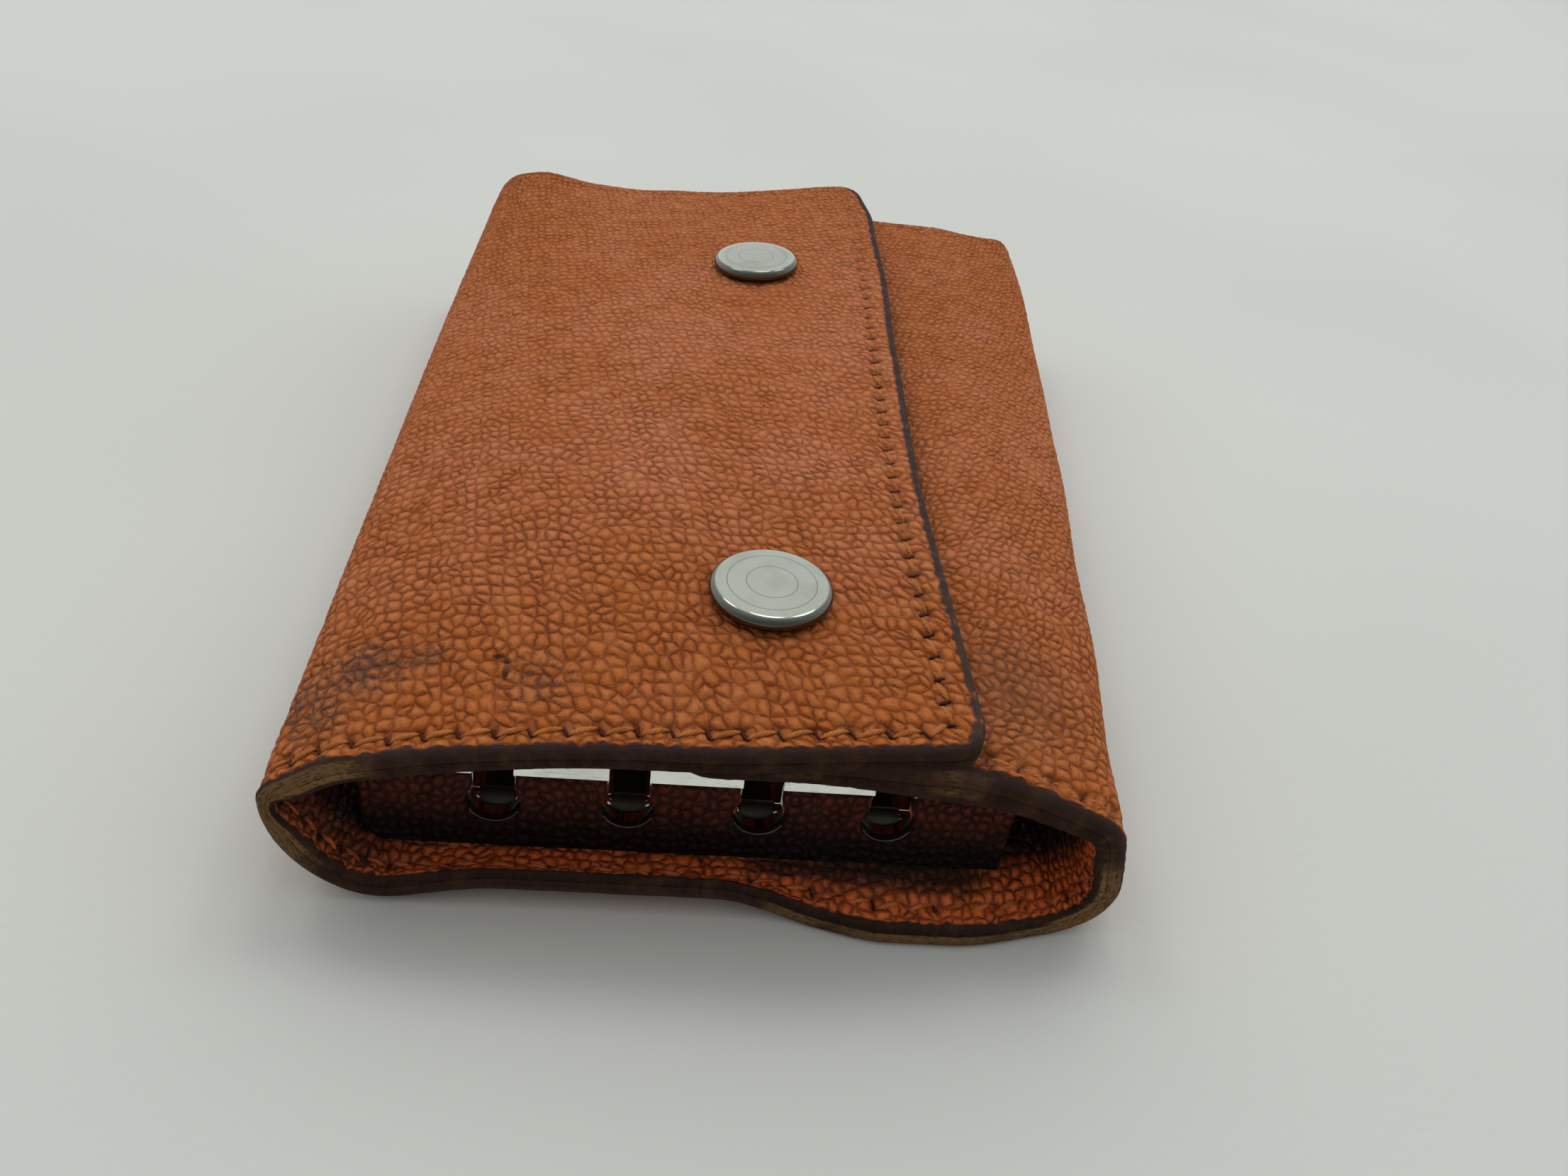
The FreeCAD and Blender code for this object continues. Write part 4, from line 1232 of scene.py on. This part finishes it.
# Leathers and threads
# Edges: upper paint with a painted sheen, lower paint, bare and rubbed leather, and where bare leather starts
outer_edges = ((63, 47, 46), (56, 36, 26), (134, 102, 66), (84, 57, 40), 0.0)
lining_edges = ((56, 38, 32), (50, 31, 21), (154, 116, 70), (84, 57, 40), -0.5)
facing_edges = ((52, 28, 22), (36, 20, 16), (66, 38, 24), (50, 28, 20), 0.0)
# The third colour is that of a painted shadow
scuff, stain, shadow_haze, scratch = (94, 62, 48), (120, 84, 52), (108, 72, 52), (44, 24, 22)

# Wear, and one painted shadow: centre and reach on the grain, colour, strength and raggedness
outer_marks = [((-46.0, -45.0), (8.5, 7.0), scuff, 0.4, 2.0),
               ((-47.0, -44.0), (5.5, 6.0), scuff, 0.9, 4.0),
               ((-44.0, -49.0), (5.0, 4.4), scuff, 0.8, 4.0),
               ((-41.5, -45.5), (4.2, 6.6), scuff, 0.85, 4.0),
               ((-51.5, -44.0), (4.0, 3.4), scuff, 0.8, 4.0),
               ((-60.5, -47.0), (6.0, 5.0), scuff, 0.6, 4.6),
               ((-57.3, -44.6), (0.9, 0.45), scratch, 0.85, 0.4),
               ((-58.0, -45.2), (0.6, 0.7), scratch, 0.85, 0.4),
               ((-58.0, -46.4), (0.4, 1.6), scratch, 0.85, 0.4),
               ((-88.5, 29.5), (3.0, 2.4), stain, 0.5, 3.0),
               # A painted shadow: a broad dark haze on the under panel by the near end
               ((53.0, -42.0), (10.0, 15.0), shadow_haze, 0.5, 2.2)]
# After each leather's four tops come the colours of painted shade in creases and of dirt with painted shade
outer_material = leather_material(
    "outer_leather", outer_cell,
    # The second top colour, faded, carries a painted pink sheen
    ((177, 97, 47), (188, 111, 72), (172, 92, 30), (198, 124, 76)),
    ((104, 42, 20), (58, 31, 22)), outer_edges,
    front_warmth=0.8, bump=0.3, gloss=0.1, marks=outer_marks)
lining_material = leather_material(
    "lining_leather", lining_cell,
    ((246, 112, 36), (230, 96, 33), (248, 114, 38), (252, 138, 62)),
    ((84, 24, 9), (24, 11, 7)), lining_edges, front_warmth=0.3, bump=0.5, gloss=0.5)
facing_material = leather_material(
    "facing_leather", facing_cell,
    ((92, 37, 22), (74, 30, 18), (92, 37, 22), (116, 54, 34)),
    ((16, 6, 5), (13, 7, 5)), facing_edges, front_warmth=0.0, bump=0.6, gloss=0.22)
outer_thread_look = thread_material("outer_thread", (184, 112, 56), (146, 84, 42))
lining_thread_look = thread_material("lining_thread", (206, 120, 70), (150, 70, 36))

left = Sheet("left", left_section(*left_corners()), left_section(*left_near), 0.0, flap_edge_x, left_deform)
right = Sheet("right", right_section(*right_corners()), right_section(*right_near), fold_spread, panel_tip_x,
              right_deform)
blends = {"left": ("top_flap", (-fold_reach, 0, fold_z - 5), (-fold_reach, 0, fold_z + 4.5)),
          "right": ("under_panel", (fold_reach, 0, fold_z - 5), (fold_reach, 0, fold_z + 3.5))}
replaced = {"left": "flap", "right": "panel"}
for sheet in (left, right):
    ends = stitch_ends(sheet)
    body, bend_start, bend_end = blends[sheet.name]
    bend_start, bend_end = (tuple(np.array(p) * MM) for p in (bend_start, bend_end))
    outer = make_ply("outer_" + sheet.name, sheet, face_step, outer_profile, 0.0, False,
                     ends, outer_cell, outer_relief)
    lining = make_ply("lining_" + sheet.name, sheet, lining_step, lining_profile, wall, True,
                      ends, lining_cell, lining_relief)
    outer_sunk = sunk_thread if sheet.spread else 0.0
    outer_thread = make_stitches("stitches_outer_" + sheet.name, sheet, ends, 0.0, 1, outer_sunk)
    lining_thread = make_stitches("stitches_lining_" + sheet.name, sheet, ends, wall, -1, sunk_thread)
    for piece, look, slot in ((outer, outer_material, "outer_leather"),
                              (lining, lining_material, "lining_leather"),
                              (outer_thread, outer_thread_look, "outer_leather"),
                              (lining_thread, lining_thread_look, "lining_leather")):
        piece.data.materials.append(look)
        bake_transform(piece)
    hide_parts("base_outer", replaced[sheet.name] + "_outer")
    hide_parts("base_lining", replaced[sheet.name] + "_lining")

facing = make_facing()
facing.data.materials.append(facing_material)
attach(facing, "base")
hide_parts("key_bar_cover")

# Metal
snap_metal = metal_material("snap_nickel", (168, 172, 162), (154, 154, 143), (0.06, 0.11), 1.0, 0.04)
bar_metal = metal_material("bar_nickel", (244, 246, 240), (222, 222, 212), (0.06, 0.12), 0.6, 0.2)
hook_metal = metal_material("hook_nickel", (76, 74, 64), (54, 52, 44), (0.45, 0.6), 0.8, 0.2, 0.6)
rim_metal = metal_material("rim_nickel", (128, 126, 112), (80, 78, 66), (0.25, 0.45), 1.0, 0.2)
for place in cap_boxes:
    cap = make_cap(place)
    cap.data.materials.append(snap_metal)
    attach(cap, "top_flap")
    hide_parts("snap_cap_" + place)
    for kind in ("socket", "stud", "eyelet"):
        paint_node("snap_%s_%s" % (kind, place), snap_metal)
for name in ("key_bar", "bar_rivets", "hook_axle", "axle_spacers", "bar_backing_plate"):
    paint_node(name, bar_metal)
for number in range(1, 5):
    for kind in ("key_hook", "hook_gate", "gate_pin"):
        paint_node("%s_%d" % (kind, number), hook_metal)

rims = make_window_rims()
rims.data.materials.append(rim_metal)
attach(rims, "base")

lint = make_lint()
lint.data.materials.append(lint_material())
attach(lint, "base")
